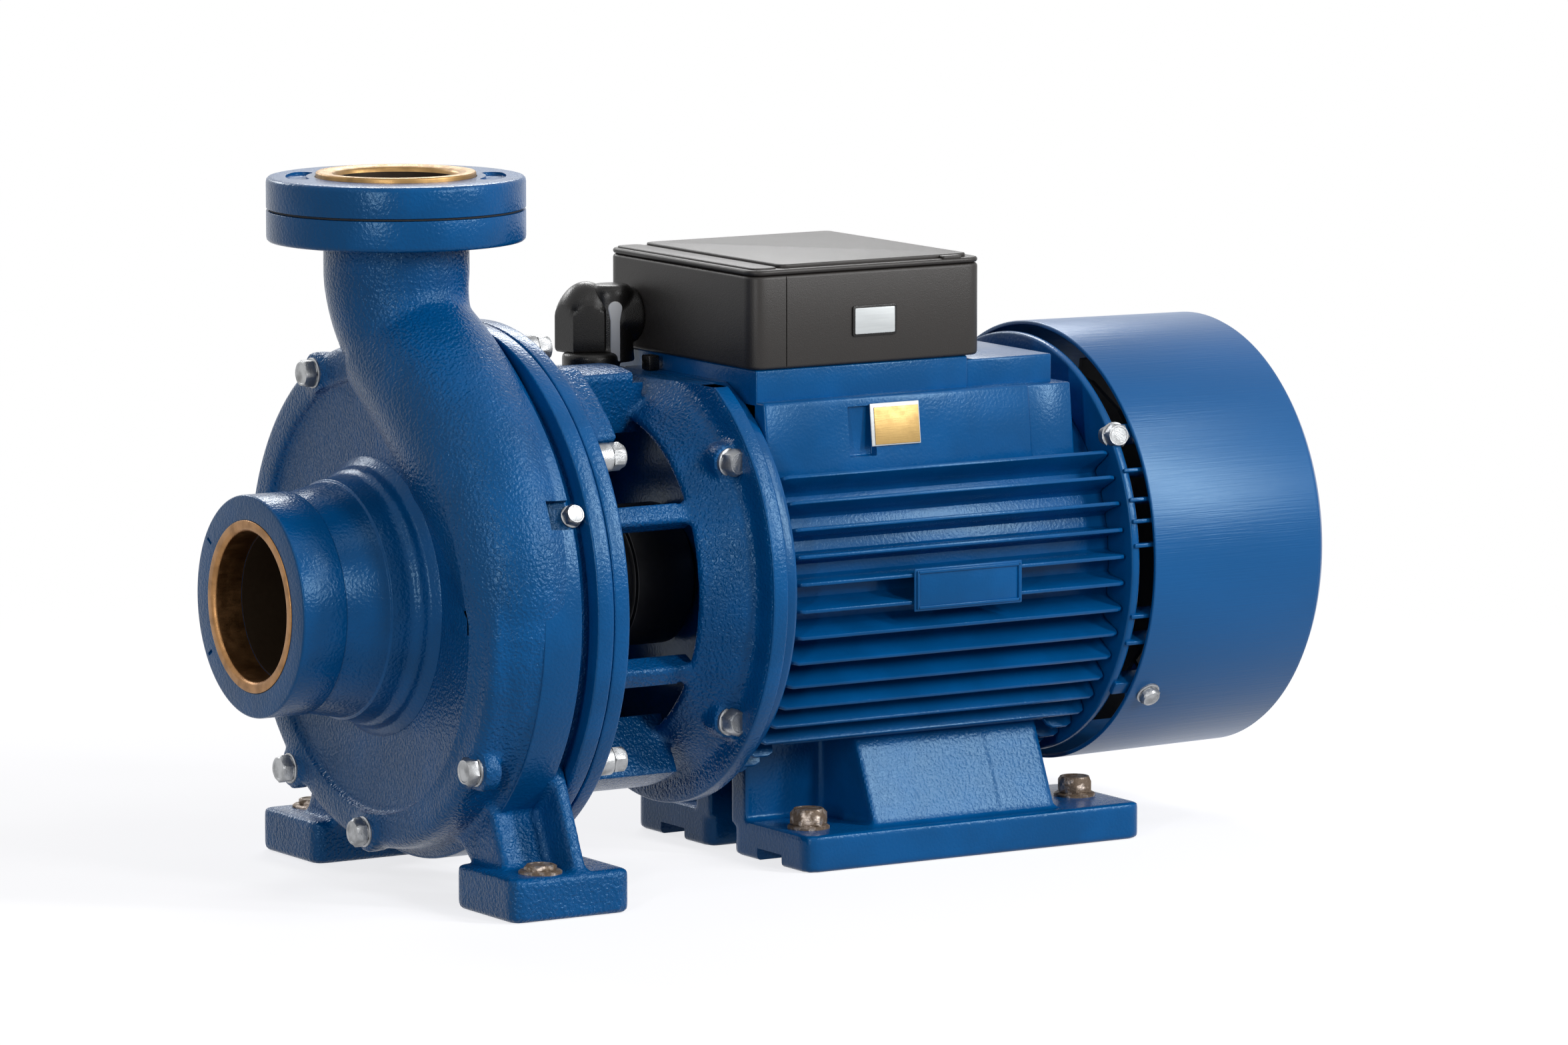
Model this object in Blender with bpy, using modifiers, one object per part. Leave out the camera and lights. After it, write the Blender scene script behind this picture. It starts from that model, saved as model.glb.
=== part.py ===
"""End-suction centrifugal pump, close-coupled to a finned electric motor.

Metres, +Z up. The shaft runs along X, with the suction nozzle at -X and the
fan cowl at +X, and the discharge flange points up. The sizes below are
measured in the pump's own frame, whose x = 0 is the axis of the discharge
flange and whose z = 0 is the floor. One empty then sets the whole pump with
the middle of its bounding box over the origin.
"""
import math

import bmesh
import bpy

# Shaft, and the gaps that touching and running pieces keep
SHAFT_HEIGHT = 0.188
SEAT_GAP = 0.0003
RUNNING_GAP = 0.0003
ROUND_STEPS = 20
FINE_STEPS = 32
WELD_DISTANCE = 0.000002
EDGE_BEVEL = 0.0015

# Suction nozzle
NOZZLE_FACE_X = -0.1077
NOZZLE_RADIUS = 0.071
NOZZLE_STRAIGHT = 0.0307
NOZZLE_STEP = 0.0012
NOZZLE_ROOT_RADIUS = 0.0844
NOZZLE_ROOT_COLLAR = 0.010
SUCTION_BORE = 0.0477
SUCTION_RING_RADIUS = 0.055
SUCTION_RING_DEPTH = 0.020
SUCTION_RING_PROUD = 0.0008

# Volute casing, whose steps are all taken from the body flange
BODY_FLANGE_RADIUS = 0.172
BAND_STEP = 0.002
GROOVE_STEP = 0.012
CASING_STEP = 0.0107
RECESS_RIM = 0.0243
SPIGOT_STEP = 0.027
CASING_FRONT_X = -0.0235
CASING_ROUNDING = 0.007
RECESS_DEPTH = 0.0045
BAND_START_X = 0.005
BAND_END_X = 0.0355
FLANGE_START_X = 0.046
FLANGE_END_X = 0.058
CHAMBER_FRONT_X = -0.012
CHAMBER_STEP = 0.031
SPIGOT_DEPTH = 0.016
CASING_WALL = 0.0095
POCKET_ANGLE = 23.0
POCKET_START_X = 0.018
POCKET_WIDTH = 0.027
POCKET_DEPTH = 0.005

# Volute: the plane of its middle, and the section radius of its outside
VOLUTE_X = 0.010
VOLUTE_END_RADIUS = 0.040
VOLUTE_START_RADIUS = 0.027
VOLUTE_START_ANGLE = 100.0
VOLUTE_PINCH = 0.006
THROAT_DROP = 0.010
THROAT_RADIUS = 0.047
THROAT_SINK = 0.020

# Discharge neck and flange, whose top is set above the shaft
DISCHARGE_STEP = 0.096
NECK_RADIUS = 0.0465
NECK_LENGTH = 0.040
NECK_SKIRT = 0.033
FLANGE_RADIUS = 0.0825
FLANGE_THICKNESS = 0.0197
GASKET_THICKNESS = 0.001
GASKET_INSET = 0.0018
DISCHARGE_BORE = 0.0385
DISCHARGE_RING_RADIUS = 0.051
DISCHARGE_RING_DEPTH = 0.016
DISCHARGE_RING_PROUD = 0.003
FLANGE_RECESS_ANGLES = (148.0, 328.0)
FLANGE_RECESS_RADIUS = 0.0635
FLANGE_RECESS_WIDTH = 0.013
FLANGE_RECESS_SPREAD = 18.0
FLANGE_RECESS_DEPTH = 0.004

# Pump feet, cast on the casing
PUMP_PAD_FRONT_X = -0.012
PUMP_PAD_REAR_X = 0.0745
PUMP_PAD_INNER_Y = 0.090
PUMP_PAD_OUTER_Y = 0.165
PUMP_PAD_HEIGHT = 0.028
PUMP_PAD_CORNER = 0.008
PUMP_PAD_ROOT = 0.006
PUMP_LEG_FRONT_X = 0.002
PUMP_LEG_ANGLES = (-46.0, -69.0)
PUMP_LEG_ROOT = 0.016
PUMP_LEG_FOOT_Y = 0.133
PUMP_WEB_FRONT_X = 0.034
PUMP_WEB_THICKNESS = 0.0115
PUMP_WEB_DROP = 0.0965
PUMP_WEB_TOP_Y = 0.131
PUMP_WEB_FOOT_Y = 0.160

# Back cover and seal housing
COVER_BORE = 0.021
SEAL_HOUSING_RADIUS = 0.047
SEAL_HOUSING_LENGTH = 0.040

# Lantern bracket between casing and motor
LANTERN_RING_WIDTH = 0.012
LANTERN_RING_DEPTH = 0.060
LANTERN_RING_EDGE = 0.003
LANTERN_RIB_ANGLE = 29.0
LANTERN_RIB_THICKNESS = 0.013
LANTERN_RIB_INNER = 0.094
LANTERN_WING_ANGLES = (40.0, 62.0)
LANTERN_WING_DEPTH = 0.042
LANTERN_WING_END_X = 0.087
LANTERN_BELL_X = 0.158
LANTERN_BELL_BORE = 0.107
LANTERN_BELL_LIP = 0.111
LANTERN_BELL_RADIUS = 0.131
LANTERN_BELL_WALL = 0.016
LANTERN_REAR_X = 0.200
LANTERN_FLANGE_RADIUS = 0.150
LANTERN_FLANGE_WIDTH = 0.012
LANTERN_TOP_HALF_ANGLE = 12.0
LANTERN_BOTTOM_HALF_ANGLE = 30.0
LANTERN_BLOCK_RADIUS = 0.138

# Motor
FRONT_SHIELD_THICKNESS = 0.0135
SHIELD_RIM = 0.004
FRAME_RADIUS = 0.113
FIN_HEIGHT = 0.023
FIN_COUNT = 48
FIN_FIRST_ANGLE = 2.3
FIN_TOP_DROP = 0.037
FIN_ROOT_THICKNESS = 0.0042
FIN_TIP_THICKNESS = 0.0022
FRAME_REAR_X = 0.4705
REAR_SHIELD_THICKNESS = 0.0065
REAR_BOSS_LENGTH = 0.015
BEARING_RADIUS = 0.036
BEARING_WIDTH = 0.0115
FRAME_BORE = 0.026

# Pedestal of the terminal box, cast on the frame: heights above the shaft
PANEL_REAR_INSET = 0.019
PANEL_BOTTOM_DROP = 0.047
PANEL_HEIGHT = 0.0525
PANEL_INSET = 0.010
PANEL_LEAN = 0.006
PANEL_END_INSET = 0.0525
PANEL_END_STEP = 0.0015
PEDESTAL_HALF_WIDTH = 0.088
PEDESTAL_STAND = 0.0205
PEDESTAL_REAR_X = 0.376
PEDESTAL_STEP_INSET = 0.0275
PEDESTAL_STEP_DROP = 0.003
PEDESTAL_STEP_WIDTH = 0.086

# Terminal box
BOX_FRONT_X = 0.210
BOX_REAR_X = 0.386
BOX_HALF_WIDTH = 0.091
BOX_HEIGHT = 0.0665
BOX_LID_HEIGHT = 0.006
BOX_CORNER = 0.012
LID_STRIP_WIDTH = 0.025
LID_PANEL_INSET = 0.012
LID_PANEL_RISE = 0.0025

# Cable gland on the box: its middle is above the box's underside
GLAND_Y = 0.060
GLAND_RISE = 0.0190
GLAND_BODY_RADIUS = 0.0215
GLAND_LEG_RADIUS = 0.0125
GLAND_LEG_X = 0.193
GLAND_CAP_RADIUS = 0.0245
GLAND_CAP_FRONT_X = 0.1585
GLAND_CAP_LENGTH = 0.017
CONDUIT_BOSS_X = 0.160
CONDUIT_BOSS_HALF_WIDTH = 0.024
CONDUIT_BOSS_DROP = 0.0115

# Plates: heights above the shaft, and above the box's underside for its label
NAMEPLATE_X = (0.2935, 0.331)
NAMEPLATE_RISE = (0.020, 0.0475)
NAMEPLATE_THICKNESS = 0.002
SIDE_PLATE_X = (0.303, 0.386)
SIDE_PLATE_RISE = (-0.018, 0.010)
SIDE_PLATE_THICKNESS = 0.003
BOX_LABEL_X = (0.285, 0.3185)
BOX_LABEL_RISE = (0.0175, 0.0375)
BOX_LABEL_THICKNESS = 0.0012

# Motor feet: how far below the shaft the frame rests on them
FOOT_FRONT_X = 0.241
FOOT_OVERHANG = 0.0315
FOOT_INNER_Y = 0.013
FOOT_OUTER_Y = 0.108
FOOT_THICKNESS = 0.024
FOOT_CORNER = 0.008
FOOT_WALL_Y = 0.0315
FRAME_SEAT_SINK = 0.005
WEDGE_FRONT_X = 0.300
WEDGE_REAR_INSET = 0.0275
WEDGE_BOTTOM_Y = 0.095
WEDGE_TOP_Y = 0.070
FOOT_ROOT = 0.004
FOOT_CHANNEL_HEIGHT = 0.008
FOOT_CHANNEL_WIDTH = 0.030
FRAME_BASE_HALF_WIDTH = 0.078
FRAME_BASE_CUT = 0.040
FOOT_END_ROOM = 0.002

# Fan cowl
COWL_GAP = 0.0145
COWL_LENGTH = 0.1415
COWL_STEP = 0.0065
COWL_TAPER = 0.002
COWL_ROUNDING = 0.010
COWL_WALL = 0.003
COWL_LUG_ANGLE = 37.0
COWL_LUG_LENGTH = 0.0295
COWL_LUG_WIDTH = 0.010
COWL_LUG_DEPTH = 0.012
GRILLE_INNER_RADIUS = 0.030
GRILLE_OUTER_RADIUS = 0.118
GRILLE_RINGS = 3
GRILLE_BAR = 0.008
GRILLE_SPOKES = 4

# Rotor
SHAFT_RADIUS = 0.019
SEAL_SHAFT_RADIUS = 0.016
IMPELLER_SEAT_RADIUS = 0.012
IMPELLER_ROOM = 0.010
IMPELLER_EYE = 0.037
IMPELLER_NECK = 0.0415
IMPELLER_FRONT_X = -0.018
IMPELLER_BACK_X = 0.0315
IMPELLER_PLATE = 0.0035
IMPELLER_OUTLET = 0.018
IMPELLER_HUB_RADIUS = 0.021
VANE_COUNT = 6
VANE_THICKNESS = 0.004
VANE_SWEEP = 100.0
NUT_LENGTH = 0.014
NUT_RADIUS = 0.0175
SLEEVE_RADIUS = 0.046
SLEEVE_FRONT_X = 0.104
SLEEVE_REAR_X = 0.194
SHAFT_OVERHANG = 0.0855
FAN_SEAT_RADIUS = 0.014
FAN_GAP = 0.0375
FAN_WIDTH = 0.042
FAN_RADIUS = 0.124
FAN_HUB_RADIUS = 0.028
FAN_PLATE = 0.003
FAN_BLADES = 9
FAN_BLADE_THICKNESS = 0.003

# Worked out from the sizes above
BAND_RADIUS = BODY_FLANGE_RADIUS - BAND_STEP
GROOVE_RADIUS = BODY_FLANGE_RADIUS - GROOVE_STEP
CASING_RADIUS = BODY_FLANGE_RADIUS - CASING_STEP
RECESS_RADIUS = CASING_RADIUS - RECESS_RIM
SPIGOT_RADIUS = BODY_FLANGE_RADIUS - SPIGOT_STEP
CHAMBER_RADIUS = SPIGOT_RADIUS - CHAMBER_STEP
IMPELLER_RADIUS = CHAMBER_RADIUS - IMPELLER_ROOM
VOLUTE_REACH = BAND_RADIUS - VOLUTE_END_RADIUS
LANTERN_RING_BORE = BODY_FLANGE_RADIUS - LANTERN_RING_DEPTH
DISCHARGE_TOP = SHAFT_HEIGHT + BODY_FLANGE_RADIUS + DISCHARGE_STEP
LOWER_FLANGE_TOP = DISCHARGE_TOP - FLANGE_THICKNESS - GASKET_THICKNESS - 2.0 * SEAT_GAP
LOWER_FLANGE_Z = LOWER_FLANGE_TOP - FLANGE_THICKNESS
NECK_START_Z = LOWER_FLANGE_Z - NECK_LENGTH
FIN_TIP_RADIUS = FRAME_RADIUS + FIN_HEIGHT
SHIELD_RADIUS = FIN_TIP_RADIUS + SHIELD_RIM
FIN_TOP_RISE = FRAME_RADIUS - FIN_TOP_DROP
PANEL_BOTTOM_Y = FRAME_RADIUS - PANEL_INSET
PANEL_TOP_Y = PANEL_BOTTOM_Y - PANEL_LEAN
PANEL_BOTTOM_Z = SHAFT_HEIGHT + FRAME_RADIUS - PANEL_BOTTOM_DROP
PANEL_TOP_Z = PANEL_BOTTOM_Z + PANEL_HEIGHT
PANEL_END_X = FRAME_REAR_X - PANEL_END_INSET
PANEL_REAR_X = FRAME_REAR_X - PANEL_REAR_INSET
PEDESTAL_TOP_Z = PANEL_TOP_Z + PEDESTAL_STAND
PEDESTAL_STEP_X = FRAME_REAR_X - PEDESTAL_STEP_INSET
COWL_FRONT_X = FRAME_REAR_X + COWL_GAP
COWL_REAR_X = COWL_FRONT_X + COWL_LENGTH
COWL_FRONT_RADIUS = SHIELD_RADIUS + COWL_STEP
COWL_REAR_RADIUS = COWL_FRONT_RADIUS - COWL_TAPER
COWL_LUG_END_X = FRAME_REAR_X + COWL_LUG_LENGTH
SHAFT_REAR_X = FRAME_REAR_X + SHAFT_OVERHANG
FAN_FRONT_X = FRAME_REAR_X + FAN_GAP
BOX_Z = PEDESTAL_TOP_Z + SEAT_GAP
BOX_TOP_Z = BOX_Z + BOX_HEIGHT
GLAND_Z = BOX_Z + GLAND_RISE
CONDUIT_BOSS_TOP_Z = SHAFT_HEIGHT + SHIELD_RADIUS - CONDUIT_BOSS_DROP
FOOT_TOP_Z = SHAFT_HEIGHT - FRAME_RADIUS + FRAME_SEAT_SINK
FOOT_REAR_X = FRAME_REAR_X + FOOT_OVERHANG
WEDGE_REAR_X = FRAME_REAR_X - WEDGE_REAR_INSET

COLOURS = {
    "blue_paint": ((0.006, 0.060, 0.235), 0.35, 0.0),
    "cowl_paint": ((0.006, 0.070, 0.260), 0.30, 0.0),
    "black_plastic": ((0.030, 0.026, 0.024), 0.40, 0.0),
    "brass": ((0.600, 0.390, 0.150), 0.30, 1.0),
    "bronze": ((0.480, 0.260, 0.100), 0.35, 1.0),
    "steel": ((0.450, 0.450, 0.440), 0.35, 1.0),
    "dark_steel": ((0.030, 0.030, 0.032), 0.50, 0.6),
    "cast_iron": ((0.120, 0.110, 0.100), 0.60, 0.6),
    "rubber": ((0.015, 0.015, 0.016), 0.80, 0.0),
    "label_white": ((0.550, 0.560, 0.560), 0.50, 0.0),
    "fan_plastic": ((0.020, 0.020, 0.022), 0.55, 0.0),
}


def clear_scene():
    for obj in list(bpy.data.objects):
        bpy.data.objects.remove(obj, do_unlink=True)


def make_collection(name):
    collection = bpy.data.collections.new(name)
    bpy.context.scene.collection.children.link(collection)
    return collection


def make_materials():
    made = {}
    for name, (rgb, roughness, metallic) in COLOURS.items():
        mat = bpy.data.materials.new(name)
        mat.use_nodes = True
        shader = mat.node_tree.nodes["Principled BSDF"]
        shader.inputs["Base Color"].default_value = (*rgb, 1.0)
        shader.inputs["Roughness"].default_value = roughness
        shader.inputs["Metallic"].default_value = metallic
        made[name] = mat
    return made


def place(name, mesh):
    obj = bpy.data.objects.new(name, mesh)
    PARTS.objects.link(obj)
    return obj


def to_mesh(obj, weld=True):
    """Replaces an object by the plain mesh of its evaluated shape, in the pump's frame."""
    bpy.context.view_layer.update()
    depsgraph = bpy.context.evaluated_depsgraph_get()
    mesh = bpy.data.meshes.new_from_object(obj.evaluated_get(depsgraph), depsgraph=depsgraph)
    mesh.transform(obj.matrix_world)
    name = obj.name
    bpy.data.objects.remove(obj, do_unlink=True)
    if weld:
        bm = bmesh.new()
        bm.from_mesh(mesh)
        bmesh.ops.remove_doubles(bm, verts=bm.verts, dist=WELD_DISTANCE)
        bmesh.ops.dissolve_degenerate(bm, edges=bm.edges, dist=WELD_DISTANCE)
        bm.to_mesh(mesh)
        bm.free()
    result = place(name, mesh)
    result.name = name
    return result


def combine(obj, other, operation):
    """Cuts, joins or trims obj with another object, which is used up."""
    modifier = obj.modifiers.new(operation.lower(), "BOOLEAN")
    modifier.operation = operation
    modifier.solver = "MANIFOLD"
    modifier.object = other
    result = to_mesh(obj, weld=False)
    bpy.data.objects.remove(other, do_unlink=True)
    return result


def cut(obj, *cutters):
    for cutter in cutters:
        obj = combine(obj, cutter, "DIFFERENCE")
    return obj


def join(obj, *others):
    for other in others:
        obj = combine(obj, other, "UNION")
    return obj


def turned(name, outer, inner=None, steps=ROUND_STEPS, centre=(0.0, 0.0, SHAFT_HEIGHT), upright=False):
    """A shape turned about the shaft, or about a vertical axis if upright.

    outer and inner list (station, radius) from the low station to the high one.
    Without an inner side the shape is solid to its axis.
    """
    if inner is None:
        inner = [(outer[0][0], 0.0), (outer[-1][0], 0.0)]
    loop = list(reversed(outer)) + list(inner)
    mesh = bpy.data.meshes.new(name)
    verts = [(radius, 0.0, station) for station, radius in loop]
    edges = [(i, (i + 1) % len(loop)) for i in range(len(loop))]
    if inner[0][1] == 0.0:
        edges = [edge for edge in edges if edge != (len(loop) - 2, len(loop) - 1)]
    mesh.from_pydata(verts, edges, [])
    obj = place(name, mesh)
    screw = obj.modifiers.new("turn", "SCREW")
    screw.steps = steps
    screw.render_steps = steps
    screw.use_merge_vertices = True
    screw.merge_threshold = 0.00001
    if not upright:
        obj.rotation_euler = (0.0, math.radians(90.0), 0.0)
    obj.location = centre
    return to_mesh(obj)


def ring(name, x_low, x_high, outer_radius, inner_radius, steps=ROUND_STEPS):
    outer = [(x_low, outer_radius), (x_high, outer_radius)]
    inner = [(x_low, inner_radius), (x_high, inner_radius)]
    return turned(name, outer, inner, steps)


def upright_ring(name, z_low, z_high, outer_radius, inner_radius, bevel=0.0):
    outer = [(z_low, outer_radius - bevel), (z_low + bevel, outer_radius)] if bevel else [(z_low, outer_radius)]
    outer += [(z_high - bevel, outer_radius), (z_high, outer_radius - bevel)] if bevel else [(z_high, outer_radius)]
    inner = [(z_low, inner_radius), (z_high, inner_radius)] if inner_radius else None
    return turned(name, outer, inner, FINE_STEPS, (0.0, 0.0, 0.0), upright=True)


def box(name, x_span, y_span, z_span, bevel=0.0, segments=2):
    """A block between the named limits, with its edges rounded by bevel."""
    mesh = bpy.data.meshes.new(name)
    bm = bmesh.new()
    bmesh.ops.create_cube(bm, size=1.0)
    spans = (x_span, y_span, z_span)
    for vert in bm.verts:
        vert.co = [low + (high - low) * (co + 0.5) for co, (low, high) in zip(vert.co, spans)]
    bm.to_mesh(mesh)
    bm.free()
    obj = place(name, mesh)
    if bevel:
        edge = obj.modifiers.new("edge", "BEVEL")
        edge.width = bevel
        edge.segments = segments
    return to_mesh(obj)


def extruded(name, outline, low, high, axis):
    """A flat outline, or a list of one outline and its holes, pushed along an axis from low to high.

    Along X the outline is (y, z), along Y it is (x, z), along Z it is (x, y).
    """
    outlines = outline if isinstance(outline[0], list) else [outline]
    curve = bpy.data.curves.new(name, "CURVE")
    curve.dimensions = "2D"
    curve.fill_mode = "BOTH"
    curve.extrude = (high - low) / 2.0
    for loop in outlines:
        spline = curve.splines.new("POLY")
        spline.points.add(len(loop) - 1)
        for point, (u, v) in zip(spline.points, loop):
            point.co = (u, v, 0.0, 1.0)
        spline.use_cyclic_u = True
    obj = place(name, curve)
    middle = (low + high) / 2.0
    if axis == "X":
        obj.rotation_euler = (math.radians(90.0), 0.0, math.radians(90.0))
        obj.location = (middle, 0.0, 0.0)
    elif axis == "Y":
        obj.rotation_euler = (math.radians(90.0), 0.0, 0.0)
        obj.location = (0.0, middle, 0.0)
    else:
        obj.location = (0.0, 0.0, middle)
    return face_out(to_mesh(obj))


def face_out(obj):
    bm = bmesh.new()
    bm.from_mesh(obj.data)
    bmesh.ops.recalc_face_normals(bm, faces=bm.faces)
    bm.to_mesh(obj.data)
    bm.free()
    return obj


def tube(name, points, resolution=3):
    """A bent round duct through (x, y, z, radius) points, with closed ends."""
    curve = bpy.data.curves.new(name, "CURVE")
    curve.dimensions = "3D"
    curve.bevel_depth = 1.0
    curve.bevel_resolution = 5
    curve.use_fill_caps = True
    curve.resolution_u = resolution
    spline = curve.splines.new("BEZIER")
    spline.radius_interpolation = "CARDINAL"
    spline.bezier_points.add(len(points) - 1)
    for point, (x, y, z, radius) in zip(spline.bezier_points, points):
        point.co = (x, y, z)
        point.radius = radius
        point.handle_left_type = "AUTO"
        point.handle_right_type = "AUTO"
    return face_out(to_mesh(place(name, curve)))


def mirrored(obj, name):
    """A copy on the other side of the pump's middle plane."""
    mesh = obj.data.copy()
    for vert in mesh.vertices:
        vert.co.y = -vert.co.y
    mesh.flip_normals()
    return place(name, mesh)


def arc(centre_u, centre_v, radius, start, end, count):
    """Points on an arc, its angles in degrees from the u axis towards the v axis."""
    points = []
    for i in range(count + 1):
        angle = math.radians(start + (end - start) * i / count)
        points.append((centre_u + radius * math.cos(angle), centre_v + radius * math.sin(angle)))
    return points


def rounded_rectangle(u_span, v_span, corner, count=4):
    (u0, u1), (v0, v1) = u_span, v_span
    points = arc(u1 - corner, v0 + corner, corner, -90, 0, count)
    points += arc(u1 - corner, v1 - corner, corner, 0, 90, count)
    points += arc(u0 + corner, v1 - corner, corner, 90, 180, count)
    points += arc(u0 + corner, v0 + corner, corner, 180, 270, count)
    return points


def polar(angle, radius):
    """(y, z) at an angle from the near side, -Y, turning upwards, about the shaft."""
    turn = math.radians(angle)
    return -radius * math.cos(turn), SHAFT_HEIGHT + radius * math.sin(turn)


def sector_outline(angles, radii, count):
    """The outline between two angles and two radii about the shaft."""
    start, end = angles
    steps = [start + (end - start) * i / count for i in range(count + 1)]
    return [polar(angle, radii[1]) for angle in steps] + [polar(angle, radii[0]) for angle in reversed(steps)]


def sector(name, x_span, angles, radii, count=8):
    return extruded(name, sector_outline(angles, radii, count), x_span[0], x_span[1], "X")


def turned_block(name, x_span, angle, radii, width):
    """A straight-sided block that stands out from the shaft at an angle."""
    turn = math.radians(angle)
    out = (-math.cos(turn), math.sin(turn))
    side = (math.sin(turn), math.cos(turn))
    outline = []
    for radius, half in ((radii[0], -1), (radii[1], -1), (radii[1], 1), (radii[0], 1)):
        offset = half * width / 2.0
        outline.append((out[0] * radius + side[0] * offset, SHAFT_HEIGHT + out[1] * radius + side[1] * offset))
    return extruded(name, outline, x_span[0], x_span[1], "X")


def bored(radius, steps=ROUND_STEPS):
    """The corner radius of a many-sided hole whose flats clear a shaft of this radius."""
    return (radius + RUNNING_GAP) / math.cos(math.pi / steps)


def volute_spine():
    """(x, y, z, outside radius) from the tongue round to the near side."""
    points = []
    sweep = 360.0 - VOLUTE_START_ANGLE
    count = 8
    for i in range(count + 1):
        share = i / count
        angle = VOLUTE_START_ANGLE + sweep * share
        radius = VOLUTE_START_RADIUS + (VOLUTE_END_RADIUS - VOLUTE_START_RADIUS) * share
        reach = VOLUTE_REACH - VOLUTE_PINCH * math.sin(math.pi * share)
        y, z = polar(angle, reach)
        points.append((VOLUTE_X, y, z, radius))
    return points


def throat_spine():
    """(x, y, z, outside radius) from the near side, in over the casing and up into the neck."""
    height = NECK_START_Z - THROAT_SINK - SHAFT_HEIGHT
    points = [(VOLUTE_X, -VOLUTE_REACH, SHAFT_HEIGHT - THROAT_DROP, VOLUTE_END_RADIUS)]
    for degrees in (15.0, 30.0, 45.0, 60.0, 76.0):
        turn = math.radians(degrees)
        radius = VOLUTE_END_RADIUS + (THROAT_RADIUS - VOLUTE_END_RADIUS) * math.sin(2.0 * turn) ** 0.5
        radius = min(radius, NECK_RADIUS) if degrees > 60.0 else radius
        points.append((
            VOLUTE_X * math.cos(turn), -VOLUTE_REACH * math.cos(turn) ** 2,
            SHAFT_HEIGHT + height * math.sin(turn), radius,
        ))
    points.append((0.0, 0.0, NECK_START_Z + NECK_LENGTH / 2.0, NECK_RADIUS - CASING_WALL / 4.0))
    return points


def thinned(points, wall):
    return [(x, y, z, radius - wall) for x, y, z, radius in points]


def pump_foot():
    """Pad, leg and web of the near foot."""
    pad = extruded(
        "pump_pad",
        rounded_rectangle(
            (PUMP_PAD_FRONT_X, PUMP_PAD_REAR_X), (-PUMP_PAD_OUTER_Y, -PUMP_PAD_INNER_Y), PUMP_PAD_CORNER
        ),
        0.0, PUMP_PAD_HEIGHT, "Z",
    )
    sunk = PUMP_PAD_HEIGHT - PUMP_PAD_ROOT
    inner_foot = -PUMP_PAD_INNER_Y - EDGE_BEVEL
    outer_angle, inner_angle = PUMP_LEG_ANGLES
    root_radius = CASING_RADIUS - PUMP_LEG_ROOT
    leg_outline = [
        polar(inner_angle, root_radius), (inner_foot, sunk), (-PUMP_LEG_FOOT_Y, sunk),
        (-PUMP_LEG_FOOT_Y + PUMP_PAD_ROOT, PUMP_PAD_HEIGHT + PUMP_PAD_ROOT),
        polar(outer_angle, CASING_RADIUS - CASING_ROUNDING), polar(outer_angle, root_radius),
    ]
    leg = extruded("pump_leg", leg_outline, PUMP_LEG_FRONT_X, FLANGE_START_X + EDGE_BEVEL, "X")
    web_outline = [
        polar(inner_angle, root_radius), (inner_foot, sunk), (-PUMP_WEB_FOOT_Y, sunk),
        (-PUMP_WEB_FOOT_Y, PUMP_PAD_HEIGHT), (-PUMP_WEB_TOP_Y, SHAFT_HEIGHT - PUMP_WEB_DROP),
        polar(outer_angle, root_radius),
    ]
    web = extruded("pump_web", web_outline, PUMP_WEB_FRONT_X, PUMP_WEB_FRONT_X + PUMP_WEB_THICKNESS, "X")
    return join(pad, leg, web)


def suction_nozzle():
    """Stands on the floor of the casing's front recess. In life the two are one casting."""
    x0 = NOZZLE_FACE_X
    seat = x0 + SUCTION_RING_DEPTH
    root = CASING_FRONT_X + RECESS_DEPTH - SEAT_GAP
    collar = root - NOZZLE_ROOT_COLLAR
    outer = [
        (x0, NOZZLE_RADIUS - EDGE_BEVEL), (x0 + EDGE_BEVEL, NOZZLE_RADIUS),
        (x0 + NOZZLE_STRAIGHT, NOZZLE_RADIUS), (x0 + NOZZLE_STRAIGHT, NOZZLE_RADIUS - NOZZLE_STEP),
        (collar, NOZZLE_ROOT_RADIUS - 4.0 * NOZZLE_STEP), (collar, NOZZLE_ROOT_RADIUS - NOZZLE_STEP),
        (root, NOZZLE_ROOT_RADIUS),
    ]
    inner = [
        (x0, SUCTION_RING_RADIUS + SEAT_GAP), (seat, SUCTION_RING_RADIUS + SEAT_GAP),
        (seat, SUCTION_BORE), (root, SUCTION_BORE),
    ]
    return turned("suction_nozzle", outer, inner, FINE_STEPS)


def discharge_neck():
    """The straight top of the neck, with the lower of the two flanges. In life it is cast on the casing."""
    outer = [
        (NECK_START_Z, NECK_RADIUS), (LOWER_FLANGE_Z, NECK_RADIUS), (LOWER_FLANGE_Z, FLANGE_RADIUS - EDGE_BEVEL),
        (LOWER_FLANGE_Z + EDGE_BEVEL, FLANGE_RADIUS), (LOWER_FLANGE_TOP - EDGE_BEVEL, FLANGE_RADIUS),
        (LOWER_FLANGE_TOP, FLANGE_RADIUS - EDGE_BEVEL),
    ]
    inner = [(NECK_START_Z, DISCHARGE_BORE), (LOWER_FLANGE_TOP, DISCHARGE_BORE)]
    return turned("discharge_neck", outer, inner, FINE_STEPS, (0.0, 0.0, 0.0), upright=True)


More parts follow.
